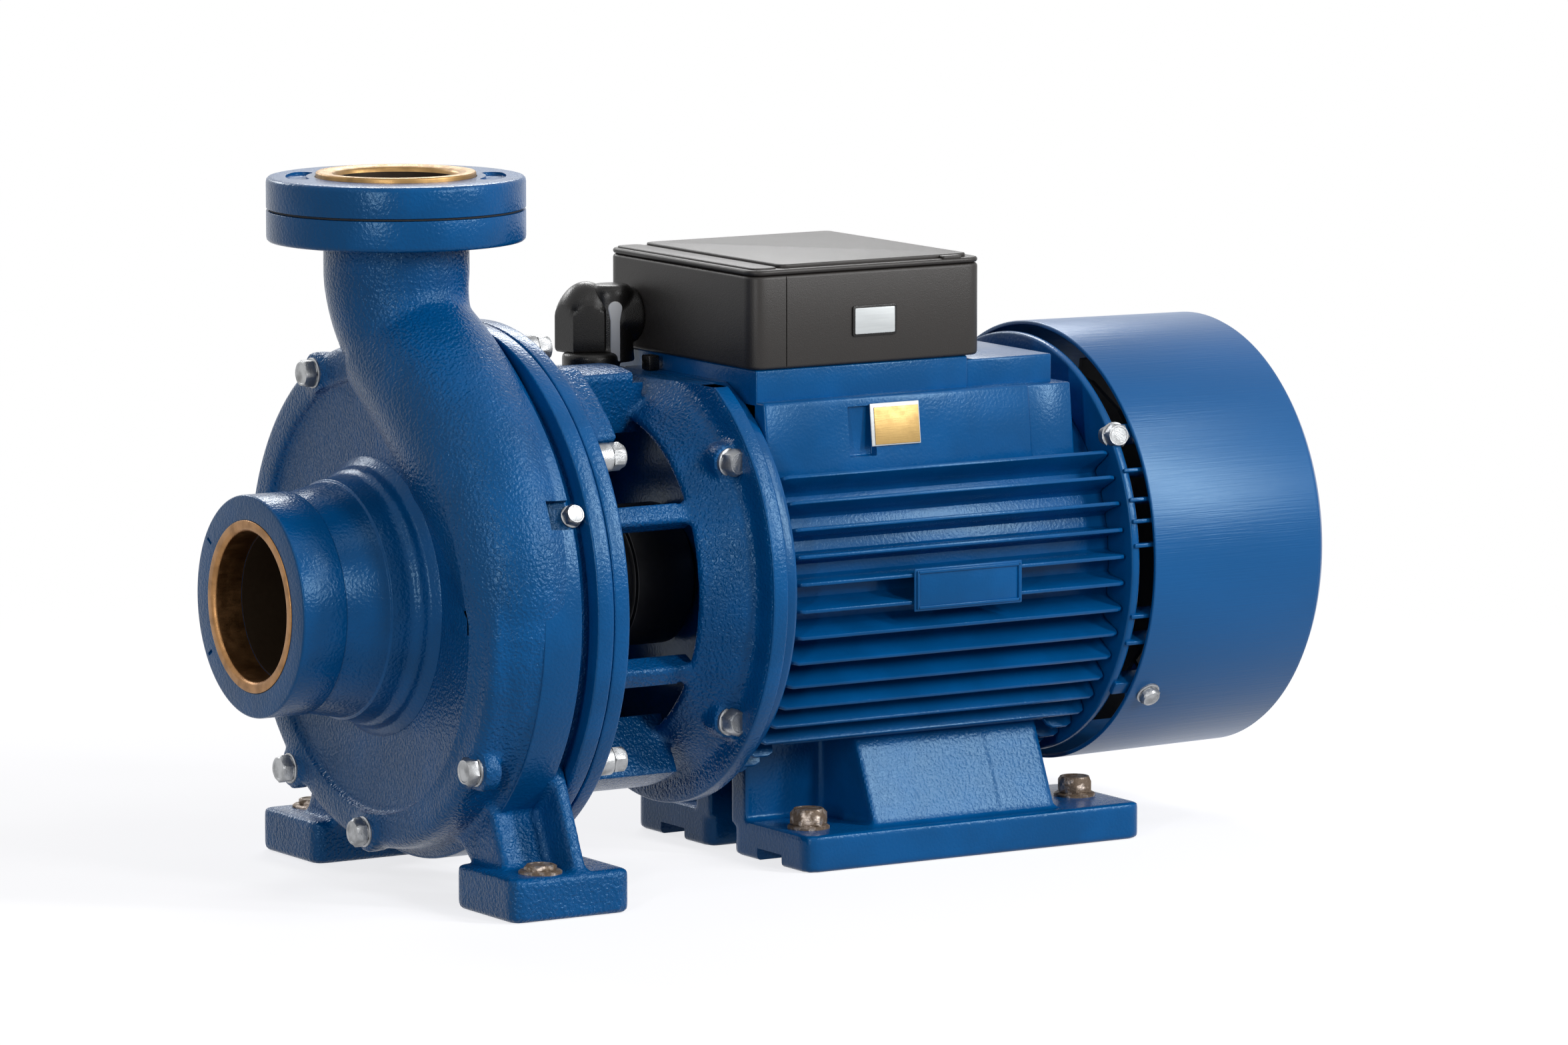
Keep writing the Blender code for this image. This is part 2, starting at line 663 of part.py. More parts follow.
def volute_casing():
    recess_x = CASING_FRONT_X + RECESS_DEPTH
    outer = [(recess_x, RECESS_RADIUS), (CASING_FRONT_X, RECESS_RADIUS + EDGE_BEVEL)]
    outer += arc(
        CASING_FRONT_X + CASING_ROUNDING, CASING_RADIUS - CASING_ROUNDING, CASING_ROUNDING, 180, 90, 3
    )
    shoulder = (BAND_RADIUS - CASING_RADIUS) / 2.0
    outer += [
        (BAND_START_X, CASING_RADIUS + shoulder), (BAND_START_X + shoulder, BAND_RADIUS),
        (BAND_END_X, BAND_RADIUS), (BAND_END_X, GROOVE_RADIUS),
        (FLANGE_START_X, GROOVE_RADIUS), (FLANGE_START_X, BODY_FLANGE_RADIUS),
        (FLANGE_END_X, BODY_FLANGE_RADIUS),
    ]
    chamber_end = FLANGE_END_X - SPIGOT_DEPTH
    chamber = [
        (recess_x - CASING_WALL, SUCTION_BORE), (CHAMBER_FRONT_X, SUCTION_BORE),
        (CHAMBER_FRONT_X, CHAMBER_RADIUS), (chamber_end, CHAMBER_RADIUS),
        (chamber_end, SPIGOT_RADIUS), (FLANGE_END_X + CASING_WALL, SPIGOT_RADIUS),
    ]
    body = turned("volute_casing", outer, None, FINE_STEPS)
    body = join(body, tube("spiral", volute_spine(), resolution=2), tube("throat", throat_spine()))
    neck_outer = [
        (NECK_START_Z - NECK_SKIRT, DISCHARGE_BORE / 2.0), (NECK_START_Z - NECK_SKIRT / 4.0, NECK_RADIUS),
        (LOWER_FLANGE_Z, NECK_RADIUS),
    ]
    neck = turned("neck", neck_outer, None, FINE_STEPS, (0.0, 0.0, 0.0), upright=True)
    near_foot = pump_foot()
    far_foot = mirrored(near_foot, "far_foot")
    body = join(body, neck, near_foot, far_foot)
    # the neck and throat reach above the joint with the discharge neck, and are cut level there
    level = box(
        "level", (-FLANGE_RADIUS, FLANGE_RADIUS), (-FLANGE_RADIUS, FLANGE_RADIUS),
        (NECK_START_Z - SEAT_GAP, LOWER_FLANGE_TOP),
    )
    hollow = turned("hollow", chamber, None, FINE_STEPS)
    inner_throat = tube("inner_throat", thinned(throat_spine(), CASING_WALL))
    inner_spiral = tube("inner_spiral", thinned(volute_spine(), CASING_WALL), resolution=2)
    bore_z = NECK_START_Z - NECK_SKIRT / 4.0
    bore = upright_ring("bore", bore_z, LOWER_FLANGE_TOP + CASING_WALL, DISCHARGE_BORE, 0.0)
    body = cut(body, level, hollow, inner_spiral, inner_throat, bore)
    for angle in (POCKET_ANGLE, 180.0 - POCKET_ANGLE):
        pocket = turned_block(
            "pocket", (POCKET_START_X, FLANGE_START_X), angle,
            (BAND_RADIUS - POCKET_DEPTH, BAND_RADIUS + POCKET_WIDTH), POCKET_WIDTH,
        )
        body = cut(body, pocket)
    return body


def suction_ring():
    x0 = NOZZLE_FACE_X - SUCTION_RING_PROUD
    x1 = NOZZLE_FACE_X + SUCTION_RING_DEPTH - SEAT_GAP
    outer = [(x0, SUCTION_RING_RADIUS - 0.0008), (x0 + 0.0008, SUCTION_RING_RADIUS), (x1, SUCTION_RING_RADIUS)]
    inner = [(x0, SUCTION_BORE + 0.0015), (x0 + 0.0015, SUCTION_BORE), (x1, SUCTION_BORE)]
    return turned("suction_ring", outer, inner, FINE_STEPS)


def kidney(middle):
    """The outline of a recess bent round the flange's axis, with round ends."""
    start, end = middle - FLANGE_RECESS_SPREAD, middle + FLANGE_RECESS_SPREAD
    half = FLANGE_RECESS_WIDTH / 2.0
    first_u, first_v = arc(0.0, 0.0, FLANGE_RECESS_RADIUS, start, end, 1)[0]
    last_u, last_v = arc(0.0, 0.0, FLANGE_RECESS_RADIUS, start, end, 1)[1]
    outline = arc(0.0, 0.0, FLANGE_RECESS_RADIUS + half, start, end, 4)
    outline += arc(last_u, last_v, half, end, end + 180.0, 4)[1:-1]
    outline += arc(0.0, 0.0, FLANGE_RECESS_RADIUS - half, end, start, 4)
    outline += arc(first_u, first_v, half, start + 180.0, start + 360.0, 4)[1:-1]
    return outline


def discharge_pieces():
    top = DISCHARGE_TOP
    low = top - FLANGE_THICKNESS
    seat = top - DISCHARGE_RING_DEPTH
    outer = [
        (low, FLANGE_RADIUS - 0.0015), (low + 0.0015, FLANGE_RADIUS),
        (top - 0.002, FLANGE_RADIUS), (top, FLANGE_RADIUS - 0.002),
    ]
    inner = [
        (low, DISCHARGE_BORE), (seat, DISCHARGE_BORE),
        (seat, DISCHARGE_RING_RADIUS + SEAT_GAP), (top, DISCHARGE_RING_RADIUS + SEAT_GAP),
    ]
    flange = turned("discharge_flange", outer, inner, FINE_STEPS, (0.0, 0.0, 0.0), upright=True)
    for middle in FLANGE_RECESS_ANGLES:
        flange = cut(flange, extruded("recess", kidney(middle), top - FLANGE_RECESS_DEPTH, top + 0.01, "Z"))
    gasket_high = low - SEAT_GAP
    upright_ring("flange_gasket", gasket_high - GASKET_THICKNESS, gasket_high,
                 FLANGE_RADIUS - GASKET_INSET, DISCHARGE_BORE)
    ring_low = seat + SEAT_GAP
    ring_high = top + DISCHARGE_RING_PROUD
    ring_outer = [
        (ring_low, DISCHARGE_RING_RADIUS), (ring_high - 0.0012, DISCHARGE_RING_RADIUS),
        (ring_high, DISCHARGE_RING_RADIUS - 0.0012),
    ]
    ring_inner = [
        (ring_low, DISCHARGE_BORE), (ring_high - 0.0015, DISCHARGE_BORE),
        (ring_high, DISCHARGE_BORE + 0.0015),
    ]
    turned("discharge_ring", ring_outer, ring_inner, FINE_STEPS, (0.0, 0.0, 0.0), upright=True)


def casing_cover():
    front = FLANGE_END_X - SPIGOT_DEPTH + SEAT_GAP
    rear = FLANGE_END_X
    outer = [(front, SPIGOT_RADIUS - SEAT_GAP), (rear, SPIGOT_RADIUS - SEAT_GAP)]
    inner = [(front, COVER_BORE), (rear, COVER_BORE)]
    return turned("casing_cover", outer, inner, FINE_STEPS)


def seal_housing():
    front = FLANGE_END_X + SEAT_GAP
    rear = front + SEAL_HOUSING_LENGTH
    step = front + 0.010
    outer = [
        (front, SEAL_HOUSING_RADIUS + 0.014), (step, SEAL_HOUSING_RADIUS + 0.014),
        (step, SEAL_HOUSING_RADIUS), (rear - 0.003, SEAL_HOUSING_RADIUS),
        (rear, SEAL_HOUSING_RADIUS - 0.003),
    ]
    inner = [(front, COVER_BORE), (rear, COVER_BORE)]
    return turned("seal_housing", outer, inner)


def lantern_bracket():
    front = FLANGE_END_X + SEAT_GAP
    ring_end = front + LANTERN_RING_WIDTH
    flange_start = LANTERN_REAR_X - LANTERN_FLANGE_WIDTH
    edge = LANTERN_RING_EDGE
    bell_outer = [
        (LANTERN_BELL_X, LANTERN_BELL_LIP - edge), (LANTERN_BELL_X + edge, LANTERN_BELL_LIP),
        (LANTERN_BELL_X + 2.5 * edge, LANTERN_BELL_LIP + edge),
        (flange_start - edge, LANTERN_BELL_RADIUS), (flange_start - edge, LANTERN_BELL_RADIUS - edge),
        (flange_start, LANTERN_BELL_RADIUS - edge), (flange_start, LANTERN_FLANGE_RADIUS),
        (LANTERN_REAR_X, LANTERN_FLANGE_RADIUS),
    ]
    bell_bore = LANTERN_BELL_RADIUS - LANTERN_BELL_WALL
    bell_inner = [
        (LANTERN_BELL_X, LANTERN_BELL_BORE - EDGE_BEVEL), (LANTERN_BELL_X + 2.5 * edge, LANTERN_BELL_BORE),
        (flange_start, bell_bore), (LANTERN_REAR_X, bell_bore),
    ]
    bracket = turned("lantern_bracket", bell_outer, bell_inner, FINE_STEPS)
    ring_outer = [
        (front, BODY_FLANGE_RADIUS), (ring_end - edge, BODY_FLANGE_RADIUS),
        (ring_end, BODY_FLANGE_RADIUS - edge),
    ]
    ring_inner = [(front, LANTERN_RING_BORE), (ring_end, LANTERN_RING_BORE)]
    # the ribs end on the ring's own bore, so they start inside a short collar there
    pieces = [ring("collar", front, front + edge * 2.0, LANTERN_RING_BORE + edge, LANTERN_RIB_INNER)]
    for angle in (LANTERN_RIB_ANGLE, -LANTERN_RIB_ANGLE, 180.0 - LANTERN_RIB_ANGLE, 180.0 + LANTERN_RIB_ANGLE):
        pieces.append(turned_block(
            "rib", (front + EDGE_BEVEL, LANTERN_BELL_X + 2.0 * edge), angle,
            (LANTERN_RIB_INNER, LANTERN_BELL_LIP - EDGE_BEVEL), LANTERN_RIB_THICKNESS,
        ))
    for angle, half in ((90.0, LANTERN_TOP_HALF_ANGLE), (-90.0, LANTERN_BOTTOM_HALF_ANGLE)):
        pieces.append(sector(
            "block", (ring_end - edge, LANTERN_BELL_X + 3.0 * edge), (angle - half, angle + half),
            (LANTERN_RIB_INNER + edge, LANTERN_BLOCK_RADIUS),
        ))
    low, high = LANTERN_WING_ANGLES
    wing_radii = (BODY_FLANGE_RADIUS - LANTERN_WING_DEPTH, BODY_FLANGE_RADIUS - edge)
    for angles in ((low, high), (180.0 - high, 180.0 - low)):
        pieces.append(sector("wing", (front + EDGE_BEVEL, LANTERN_WING_END_X), angles, wing_radii, 4))
    # taller than it ends up, because the flat top is cut across it
    pieces.append(box(
        "conduit_boss", (CONDUIT_BOSS_X, LANTERN_REAR_X - EDGE_BEVEL),
        (GLAND_Y - CONDUIT_BOSS_HALF_WIDTH, GLAND_Y + CONDUIT_BOSS_HALF_WIDTH),
        (SHAFT_HEIGHT + LANTERN_BELL_BORE - LANTERN_RING_WIDTH, CONDUIT_BOSS_TOP_Z + LANTERN_RING_WIDTH),
    ))
    front_ring = join(turned("front_ring", ring_outer, ring_inner, FINE_STEPS), *pieces)
    return cut(join(bracket, front_ring), flat_top(CONDUIT_BOSS_X - EDGE_BEVEL, LANTERN_REAR_X + edge))


def flat_top(x_low, x_high):
    """What is cut off the top of the bell and the shield, level with the conduit boss."""
    half = BODY_FLANGE_RADIUS
    return box("flat_top", (x_low, x_high), (-half, half), (CONDUIT_BOSS_TOP_Z, CONDUIT_BOSS_TOP_Z + half))


def motor_shields():
    front = LANTERN_REAR_X + SEAT_GAP
    rear = front + FRONT_SHIELD_THICKNESS
    outer = [
        (front, SHIELD_RADIUS - 0.004), (front + 0.004, SHIELD_RADIUS),
        (rear - 0.003, SHIELD_RADIUS), (rear, SHIELD_RADIUS - 0.003),
    ]
    seat = BEARING_RADIUS + SEAT_GAP
    inner = [(front, seat), (rear, seat)]
    cut(turned("motor_front_shield", outer, inner), flat_top(front - EDGE_BEVEL, rear + EDGE_BEVEL))
    bearing_bore = bored(SHAFT_RADIUS)
    middle = (front + rear) / 2.0
    ring("front_bearing", middle - BEARING_WIDTH / 2, middle + BEARING_WIDTH / 2, BEARING_RADIUS, bearing_bore)

    front = FRAME_REAR_X + SEAT_GAP
    rear = front + REAR_SHIELD_THICKNESS
    boss = rear + REAR_BOSS_LENGTH
    outer = [
        (front, SHIELD_RADIUS - 0.002), (front + 0.002, SHIELD_RADIUS),
        (rear - 0.002, SHIELD_RADIUS), (rear, SHIELD_RADIUS - 0.002),
        (rear, BEARING_RADIUS + 0.018), (boss, BEARING_RADIUS + 0.014),
    ]
    inner = [(front, seat), (boss, seat)]
    shield = turned("motor_rear_shield", outer, inner)
    lug_corner = cowl_inner_radius(COWL_LUG_END_X) * math.cos(math.pi / FINE_STEPS) - SEAT_GAP
    lug_radius = math.sqrt(lug_corner ** 2 - (COWL_LUG_WIDTH / 2.0) ** 2)
    for angle in (COWL_LUG_ANGLE, -COWL_LUG_ANGLE, 180.0 - COWL_LUG_ANGLE, 180.0 + COWL_LUG_ANGLE):
        lug = turned_block(
            "lug", (rear - 0.004, COWL_LUG_END_X), angle,
            (lug_radius - COWL_LUG_DEPTH, lug_radius), COWL_LUG_WIDTH,
        )
        shield = join(shield, lug)
    ring("rear_bearing", front + 0.004, front + 0.004 + BEARING_WIDTH, BEARING_RADIUS, bearing_bore)
    return shield


def fin_outline():
    """The frame's round outline with its cooling fins, which stop below the side panels."""
    points = []
    pitch = 360.0 / FIN_COUNT
    for i in range(FIN_COUNT):
        angle = FIN_FIRST_ANGLE + pitch * i
        root = math.degrees(FIN_ROOT_THICKNESS / 2.0 / FRAME_RADIUS)
        tip = math.degrees(FIN_TIP_THICKNESS / 2.0 / FIN_TIP_RADIUS)
        if FIN_TIP_RADIUS * math.sin(math.radians(angle)) > FIN_TOP_RISE:
            points.append(polar(angle, FRAME_RADIUS))
            continue
        points.append(polar(angle - root, FRAME_RADIUS))
        points.append(polar(angle - tip, FIN_TIP_RADIUS))
        points.append(polar(angle + tip, FIN_TIP_RADIUS))
        points.append(polar(angle + root, FRAME_RADIUS))
    return points


def panel_half_width(z):
    """How far the sloping side panel stands out from the middle plane at height z."""
    share = (z - PANEL_BOTTOM_Z) / (PANEL_TOP_Z - PANEL_BOTTOM_Z)
    return PANEL_BOTTOM_Y + (PANEL_TOP_Y - PANEL_BOTTOM_Y) * share


def motor_frame():
    front = LANTERN_REAR_X + FRONT_SHIELD_THICKNESS + 2.0 * SEAT_GAP
    frame = extruded("motor_frame", fin_outline(), front, FRAME_REAR_X, "X")
    root = SHAFT_HEIGHT + FRAME_RADIUS / 3.0
    lip = PANEL_BOTTOM_Y - PANEL_TOP_Y
    panel = [
        (-PANEL_BOTTOM_Y, PANEL_BOTTOM_Z), (-PANEL_TOP_Y, PANEL_TOP_Z),
        (PANEL_TOP_Y, PANEL_TOP_Z), (PANEL_BOTTOM_Y, PANEL_BOTTOM_Z),
        (PANEL_BOTTOM_Y - 2.0 * lip, PANEL_BOTTOM_Z - lip / 2.0), (FRAME_RADIUS / 2.0, root),
        (-FRAME_RADIUS / 2.0, root), (-PANEL_BOTTOM_Y + 2.0 * lip, PANEL_BOTTOM_Z - lip / 2.0),
    ]
    panel_block = extruded("panel", panel, front, PANEL_END_X, "X")
    inset = [(y - math.copysign(PANEL_END_STEP, y), z - PANEL_END_STEP / 2.0) for y, z in panel]
    panel_end = extruded("panel_end", inset, PANEL_END_X - PANEL_END_STEP, PANEL_REAR_X, "X")
    sunk = PANEL_TOP_Z - 2.0 * lip
    pedestal = box(
        "pedestal", (front, PEDESTAL_REAR_X), (-PEDESTAL_HALF_WIDTH, PEDESTAL_HALF_WIDTH),
        (sunk, PEDESTAL_TOP_Z),
    )
    step = box(
        "pedestal_step", (PEDESTAL_REAR_X - lip, PEDESTAL_STEP_X), (-PEDESTAL_STEP_WIDTH, PEDESTAL_STEP_WIDTH),
        (sunk, PEDESTAL_TOP_Z - PEDESTAL_STEP_DROP),
    )
    # the base block starts too low, and is then cut level with the fins over the feet
    base = box(
        "base", (FOOT_FRONT_X, WEDGE_REAR_X), (-FRAME_BASE_HALF_WIDTH, FRAME_BASE_HALF_WIDTH),
        (FOOT_TOP_Z - FOOT_ROOT, SHAFT_HEIGHT - FRAME_RADIUS + FRAME_BASE_CUT),
    )
    frame = join(frame, panel_block, panel_end, pedestal, step, base)
    foot_room = box(
        "foot_room", (FOOT_FRONT_X - FOOT_END_ROOM, WEDGE_REAR_X + FOOT_END_ROOM),
        (-FOOT_OUTER_Y, FOOT_OUTER_Y), (0.0, FOOT_TOP_Z + SEAT_GAP),
    )
    bore_ends = [(front - EDGE_BEVEL, FRAME_BORE), (FRAME_REAR_X + EDGE_BEVEL, FRAME_BORE)]
    return cut(frame, foot_room, turned("bore", bore_ends))


def motor_foot():
    plate = extruded(
        "motor_foot_near",
        rounded_rectangle((FOOT_FRONT_X, FOOT_REAR_X), (-FOOT_OUTER_Y, -FOOT_INNER_Y), FOOT_CORNER),
        0.0, FOOT_THICKNESS, "Z",
    )
    sunk = FOOT_THICKNESS - FOOT_ROOT
    wall = box("wall", (FOOT_FRONT_X, WEDGE_REAR_X), (-FOOT_WALL_Y, -FOOT_INNER_Y), (sunk, FOOT_TOP_Z))
    wedge_outline = [
        (-FOOT_WALL_Y + FOOT_ROOT, sunk), (-WEDGE_BOTTOM_Y, sunk), (-WEDGE_BOTTOM_Y, FOOT_THICKNESS),
        (-WEDGE_TOP_Y, FOOT_TOP_Z), (-FOOT_WALL_Y + FOOT_ROOT, FOOT_TOP_Z),
    ]
    wedge = extruded("wedge", wedge_outline, WEDGE_FRONT_X, WEDGE_REAR_X - EDGE_BEVEL, "X")
    foot = join(plate, wall, wedge)
    middle_y = -(FOOT_INNER_Y + FOOT_OUTER_Y) / 2.0
    channel = box(
        "channel", (FOOT_FRONT_X - FOOT_ROOT, FOOT_REAR_X + FOOT_ROOT),
        (middle_y - FOOT_CHANNEL_WIDTH / 2, middle_y + FOOT_CHANNEL_WIDTH / 2), (-FOOT_ROOT, FOOT_CHANNEL_HEIGHT),
    )
    return cut(foot, channel)


def cowl_outer_radius(x):
    share = (x - COWL_FRONT_X) / (COWL_REAR_X - COWL_ROUNDING - COWL_FRONT_X)
    return COWL_FRONT_RADIUS + (COWL_REAR_RADIUS - COWL_FRONT_RADIUS) * share


def cowl_inner_radius(x):
    return cowl_outer_radius(x) - COWL_WALL


def fan_cowl():
    """Turned sheet side, joined to an end wall punched with rings of slots."""
    bend_x = COWL_REAR_X - COWL_ROUNDING
    bend_r = COWL_REAR_RADIUS - COWL_ROUNDING
    rim = GRILLE_OUTER_RADIUS + GRILLE_BAR / 4.0
    outer = [(COWL_FRONT_X, COWL_FRONT_RADIUS)] + arc(bend_x, bend_r, COWL_ROUNDING, 90, 0, 3)
    inner = [(COWL_FRONT_X, COWL_FRONT_RADIUS - COWL_WALL)]
    inner += arc(bend_x, bend_r, COWL_ROUNDING - COWL_WALL, 90, 0, 3)
    outer.append((COWL_REAR_X, rim))
    inner.append((COWL_REAR_X - COWL_WALL, rim))
    side = turned("fan_cowl", outer, inner, FINE_STEPS)
    outlines = [[polar(360.0 * i / FINE_STEPS, rim + 0.004) for i in range(FINE_STEPS)]]
    pitch = (GRILLE_OUTER_RADIUS - GRILLE_INNER_RADIUS) / GRILLE_RINGS
    spoke = 360.0 / GRILLE_SPOKES
    for i in range(GRILLE_RINGS):
        low = GRILLE_INNER_RADIUS + pitch * i
        bar = math.degrees(GRILLE_BAR / 2.0 / low)
        for k in range(GRILLE_SPOKES):
            start = spoke * (k + 0.5) + bar
            outlines.append(sector_outline((start, start + spoke - 2.0 * bar), (low, low + pitch - GRILLE_BAR), 4 + i))
    inset = COWL_WALL / 10.0
    wall = extruded("end_wall", outlines, COWL_REAR_X - COWL_WALL + inset, COWL_REAR_X - inset, "X")
    return join(side, wall)


def terminal_box():
    lid_low = BOX_TOP_Z - BOX_LID_HEIGHT
    outline = rounded_rectangle((BOX_FRONT_X, BOX_REAR_X), (-BOX_HALF_WIDTH, BOX_HALF_WIDTH), BOX_CORNER)
    extruded("terminal_box_body", outline, BOX_Z, lid_low - SEAT_GAP, "Z")
    lid = extruded("terminal_box_lid", outline, lid_low, BOX_TOP_Z - LID_PANEL_RISE, "Z")
    panel = extruded(
        "lid_panel",
        rounded_rectangle(
            (BOX_FRONT_X + LID_STRIP_WIDTH, BOX_REAR_X - LID_PANEL_INSET),
            (-BOX_HALF_WIDTH + LID_PANEL_INSET, BOX_HALF_WIDTH - LID_PANEL_INSET), BOX_CORNER / 2.0,
        ),
        lid_low + LID_PANEL_RISE, BOX_TOP_Z, "Z",
    )
    return join(lid, panel)


def cable_gland():
    """Elbow from the box's front end down to the bracket, with a six-sided cap on its corner."""
    cap_rear = GLAND_CAP_FRONT_X + GLAND_CAP_LENGTH
    middle = (0.0, GLAND_Y, GLAND_Z)
    rounding = GLAND_BODY_RADIUS / 4.0
    body_rear = BOX_FRONT_X - SEAT_GAP
    body = [
        (cap_rear + SEAT_GAP, GLAND_BODY_RADIUS), (body_rear - rounding, GLAND_BODY_RADIUS),
        (body_rear, GLAND_BODY_RADIUS - rounding),
    ]
    elbow = turned("gland_elbow", body, None, 16, middle)
    leg = turned(
        "gland_leg", [(CONDUIT_BOSS_TOP_Z + SEAT_GAP, GLAND_LEG_RADIUS), (GLAND_Z, GLAND_LEG_RADIUS)], None, 16,
        (GLAND_LEG_X, GLAND_Y, 0.0), upright=True,
    )
    chamfer = GLAND_CAP_LENGTH / 3.0
    cap = [
        (GLAND_CAP_FRONT_X, GLAND_CAP_RADIUS - chamfer), (GLAND_CAP_FRONT_X + chamfer, GLAND_CAP_RADIUS),
        (cap_rear, GLAND_CAP_RADIUS),
    ]
    turned("gland_cap", cap, None, 6, middle)
    return join(elbow, leg)


def plates():
    back = [(-panel_half_width(PANEL_BOTTOM_Z + rise) - SEAT_GAP, PANEL_BOTTOM_Z + rise) for rise in NAMEPLATE_RISE]
    front = [(y - NAMEPLATE_THICKNESS, z) for y, z in reversed(back)]
    extruded("nameplate", back + front, NAMEPLATE_X[0], NAMEPLATE_X[1], "X")
    outer = -FIN_TIP_RADIUS - SEAT_GAP
    span = [SHAFT_HEIGHT + rise for rise in SIDE_PLATE_RISE]
    box("side_plate", SIDE_PLATE_X, (outer - SIDE_PLATE_THICKNESS, outer), span)
    outer = -BOX_HALF_WIDTH - SEAT_GAP
    span = [BOX_Z + rise for rise in BOX_LABEL_RISE]
    box("box_label", BOX_LABEL_X, (outer - BOX_LABEL_THICKNESS, outer), span)


def shaft():
    sleeve_start = SLEEVE_FRONT_X
    nose = IMPELLER_FRONT_X + 0.002
    outer = [
        (nose, IMPELLER_SEAT_RADIUS - 0.004), (IMPELLER_FRONT_X + 0.014, IMPELLER_SEAT_RADIUS - 0.004),
        (IMPELLER_FRONT_X + 0.014, IMPELLER_SEAT_RADIUS),
        (IMPELLER_BACK_X + SEAT_GAP, IMPELLER_SEAT_RADIUS), (IMPELLER_BACK_X + SEAT_GAP, SEAL_SHAFT_RADIUS),
        (sleeve_start, SEAL_SHAFT_RADIUS), (sleeve_start, SHAFT_RADIUS),
        (FAN_FRONT_X - 0.004, SHAFT_RADIUS), (FAN_FRONT_X - 0.004, FAN_SEAT_RADIUS),
        (SHAFT_REAR_X, FAN_SEAT_RADIUS),
    ]
    return turned("shaft", outer, None)


def coupling_sleeve():
    x0, x1 = SLEEVE_FRONT_X + SEAT_GAP, SLEEVE_REAR_X
    groove = (x0 + x1) / 2.0
    outer = [
        (x0, SLEEVE_RADIUS - 0.003), (x0 + 0.003, SLEEVE_RADIUS), (groove - 0.002, SLEEVE_RADIUS),
        (groove - 0.002, SLEEVE_RADIUS - 0.003), (groove + 0.002, SLEEVE_RADIUS - 0.003),
        (groove + 0.002, SLEEVE_RADIUS), (x1 - 0.003, SLEEVE_RADIUS), (x1, SLEEVE_RADIUS - 0.003),
    ]
    inner = [(x0, bored(SHAFT_RADIUS)), (x1, bored(SHAFT_RADIUS))]
    return turned("coupling_sleeve", outer, inner)


def vane(index):
    """One backward-curved vane, pushed along the shaft."""
    count = 7
    start_radius = IMPELLER_HUB_RADIUS + 0.014
    end_radius = IMPELLER_RADIUS - 0.001
    sides = ([], [])
    for i in range(count + 1):
        share = i / count
        radius = start_radius + (end_radius - start_radius) * share
        angle = 360.0 / VANE_COUNT * index - VANE_SWEEP * share ** 0.8
        half = math.degrees(VANE_THICKNESS / 2.0 / radius) * 1.35
        sides[0].append(polar(angle - half, radius))
        sides[1].append(polar(angle + half, radius))
    outline = sides[0] + list(reversed(sides[1]))
    return extruded("vane", outline, IMPELLER_FRONT_X + 0.010, IMPELLER_BACK_X - 0.001, "X")


def impeller():
    back = IMPELLER_BACK_X
    plate = IMPELLER_PLATE
    rim_front = back - plate - IMPELLER_OUTLET - plate
    hub_front = IMPELLER_FRONT_X + 0.014
    hub_outer = [
        (hub_front, IMPELLER_HUB_RADIUS - 0.004), (hub_front + 0.008, IMPELLER_HUB_RADIUS),
        (back - plate - 0.010, IMPELLER_HUB_RADIUS + 0.006), (back - plate - 0.002, IMPELLER_HUB_RADIUS + 0.020),
        (back - plate, IMPELLER_RADIUS), (back, IMPELLER_RADIUS),
    ]
    bore = bored(IMPELLER_SEAT_RADIUS)
    wheel = turned("impeller", hub_outer, [(hub_front, bore), (back, bore)])
    neck_end = IMPELLER_FRONT_X + 0.014
    shroud_outer = [
        (IMPELLER_FRONT_X, IMPELLER_NECK), (neck_end - 0.002, IMPELLER_NECK), (neck_end + 0.002, IMPELLER_NECK + 0.008),
        (rim_front, IMPELLER_RADIUS), (rim_front + plate, IMPELLER_RADIUS),
    ]
    shroud_inner = [
        (IMPELLER_FRONT_X, IMPELLER_EYE), (neck_end, IMPELLER_EYE), (neck_end + 0.005, IMPELLER_EYE + 0.010),
        (rim_front + plate, IMPELLER_RADIUS - 0.003),
    ]
    shroud = turned("shroud", shroud_outer, shroud_inner)
    envelope = turned(
        "envelope",
        [
            (neck_end - 0.004, IMPELLER_EYE + 0.002), (neck_end + 0.001, IMPELLER_EYE + 0.004),
            (rim_front + 0.001, IMPELLER_RADIUS - 0.0005), (back - 0.001, IMPELLER_RADIUS - 0.0005),
        ],
        [
            (neck_end - 0.004, IMPELLER_HUB_RADIUS - 0.003), (back - plate - 0.009, IMPELLER_HUB_RADIUS + 0.002),
            (back - 0.001, IMPELLER_HUB_RADIUS + 0.002),
        ],
    )
    vanes = [vane(i) for i in range(VANE_COUNT)]
    for blade in vanes:
        tool = place("envelope_copy", envelope.data.copy())
        wheel = join(wheel, combine(blade, tool, "INTERSECT"))
    bpy.data.objects.remove(envelope, do_unlink=True)
    return join(wheel, shroud)


def impeller_nut():
    rear = IMPELLER_FRONT_X + 0.014 - SEAT_GAP
    front = rear - NUT_LENGTH
    outer = [
        (front - 0.006, 0.006), (front - 0.004, 0.011), (front, NUT_RADIUS - 0.003),
        (front + 0.003, NUT_RADIUS), (rear, NUT_RADIUS),
    ]
    nut = turned("impeller_nut", outer, None, 12)
    bore = turned("nut_bore", [(front + 0.001, IMPELLER_SEAT_RADIUS - 0.0036), (rear + 0.01, IMPELLER_SEAT_RADIUS - 0.0036)])
    return cut(nut, bore)


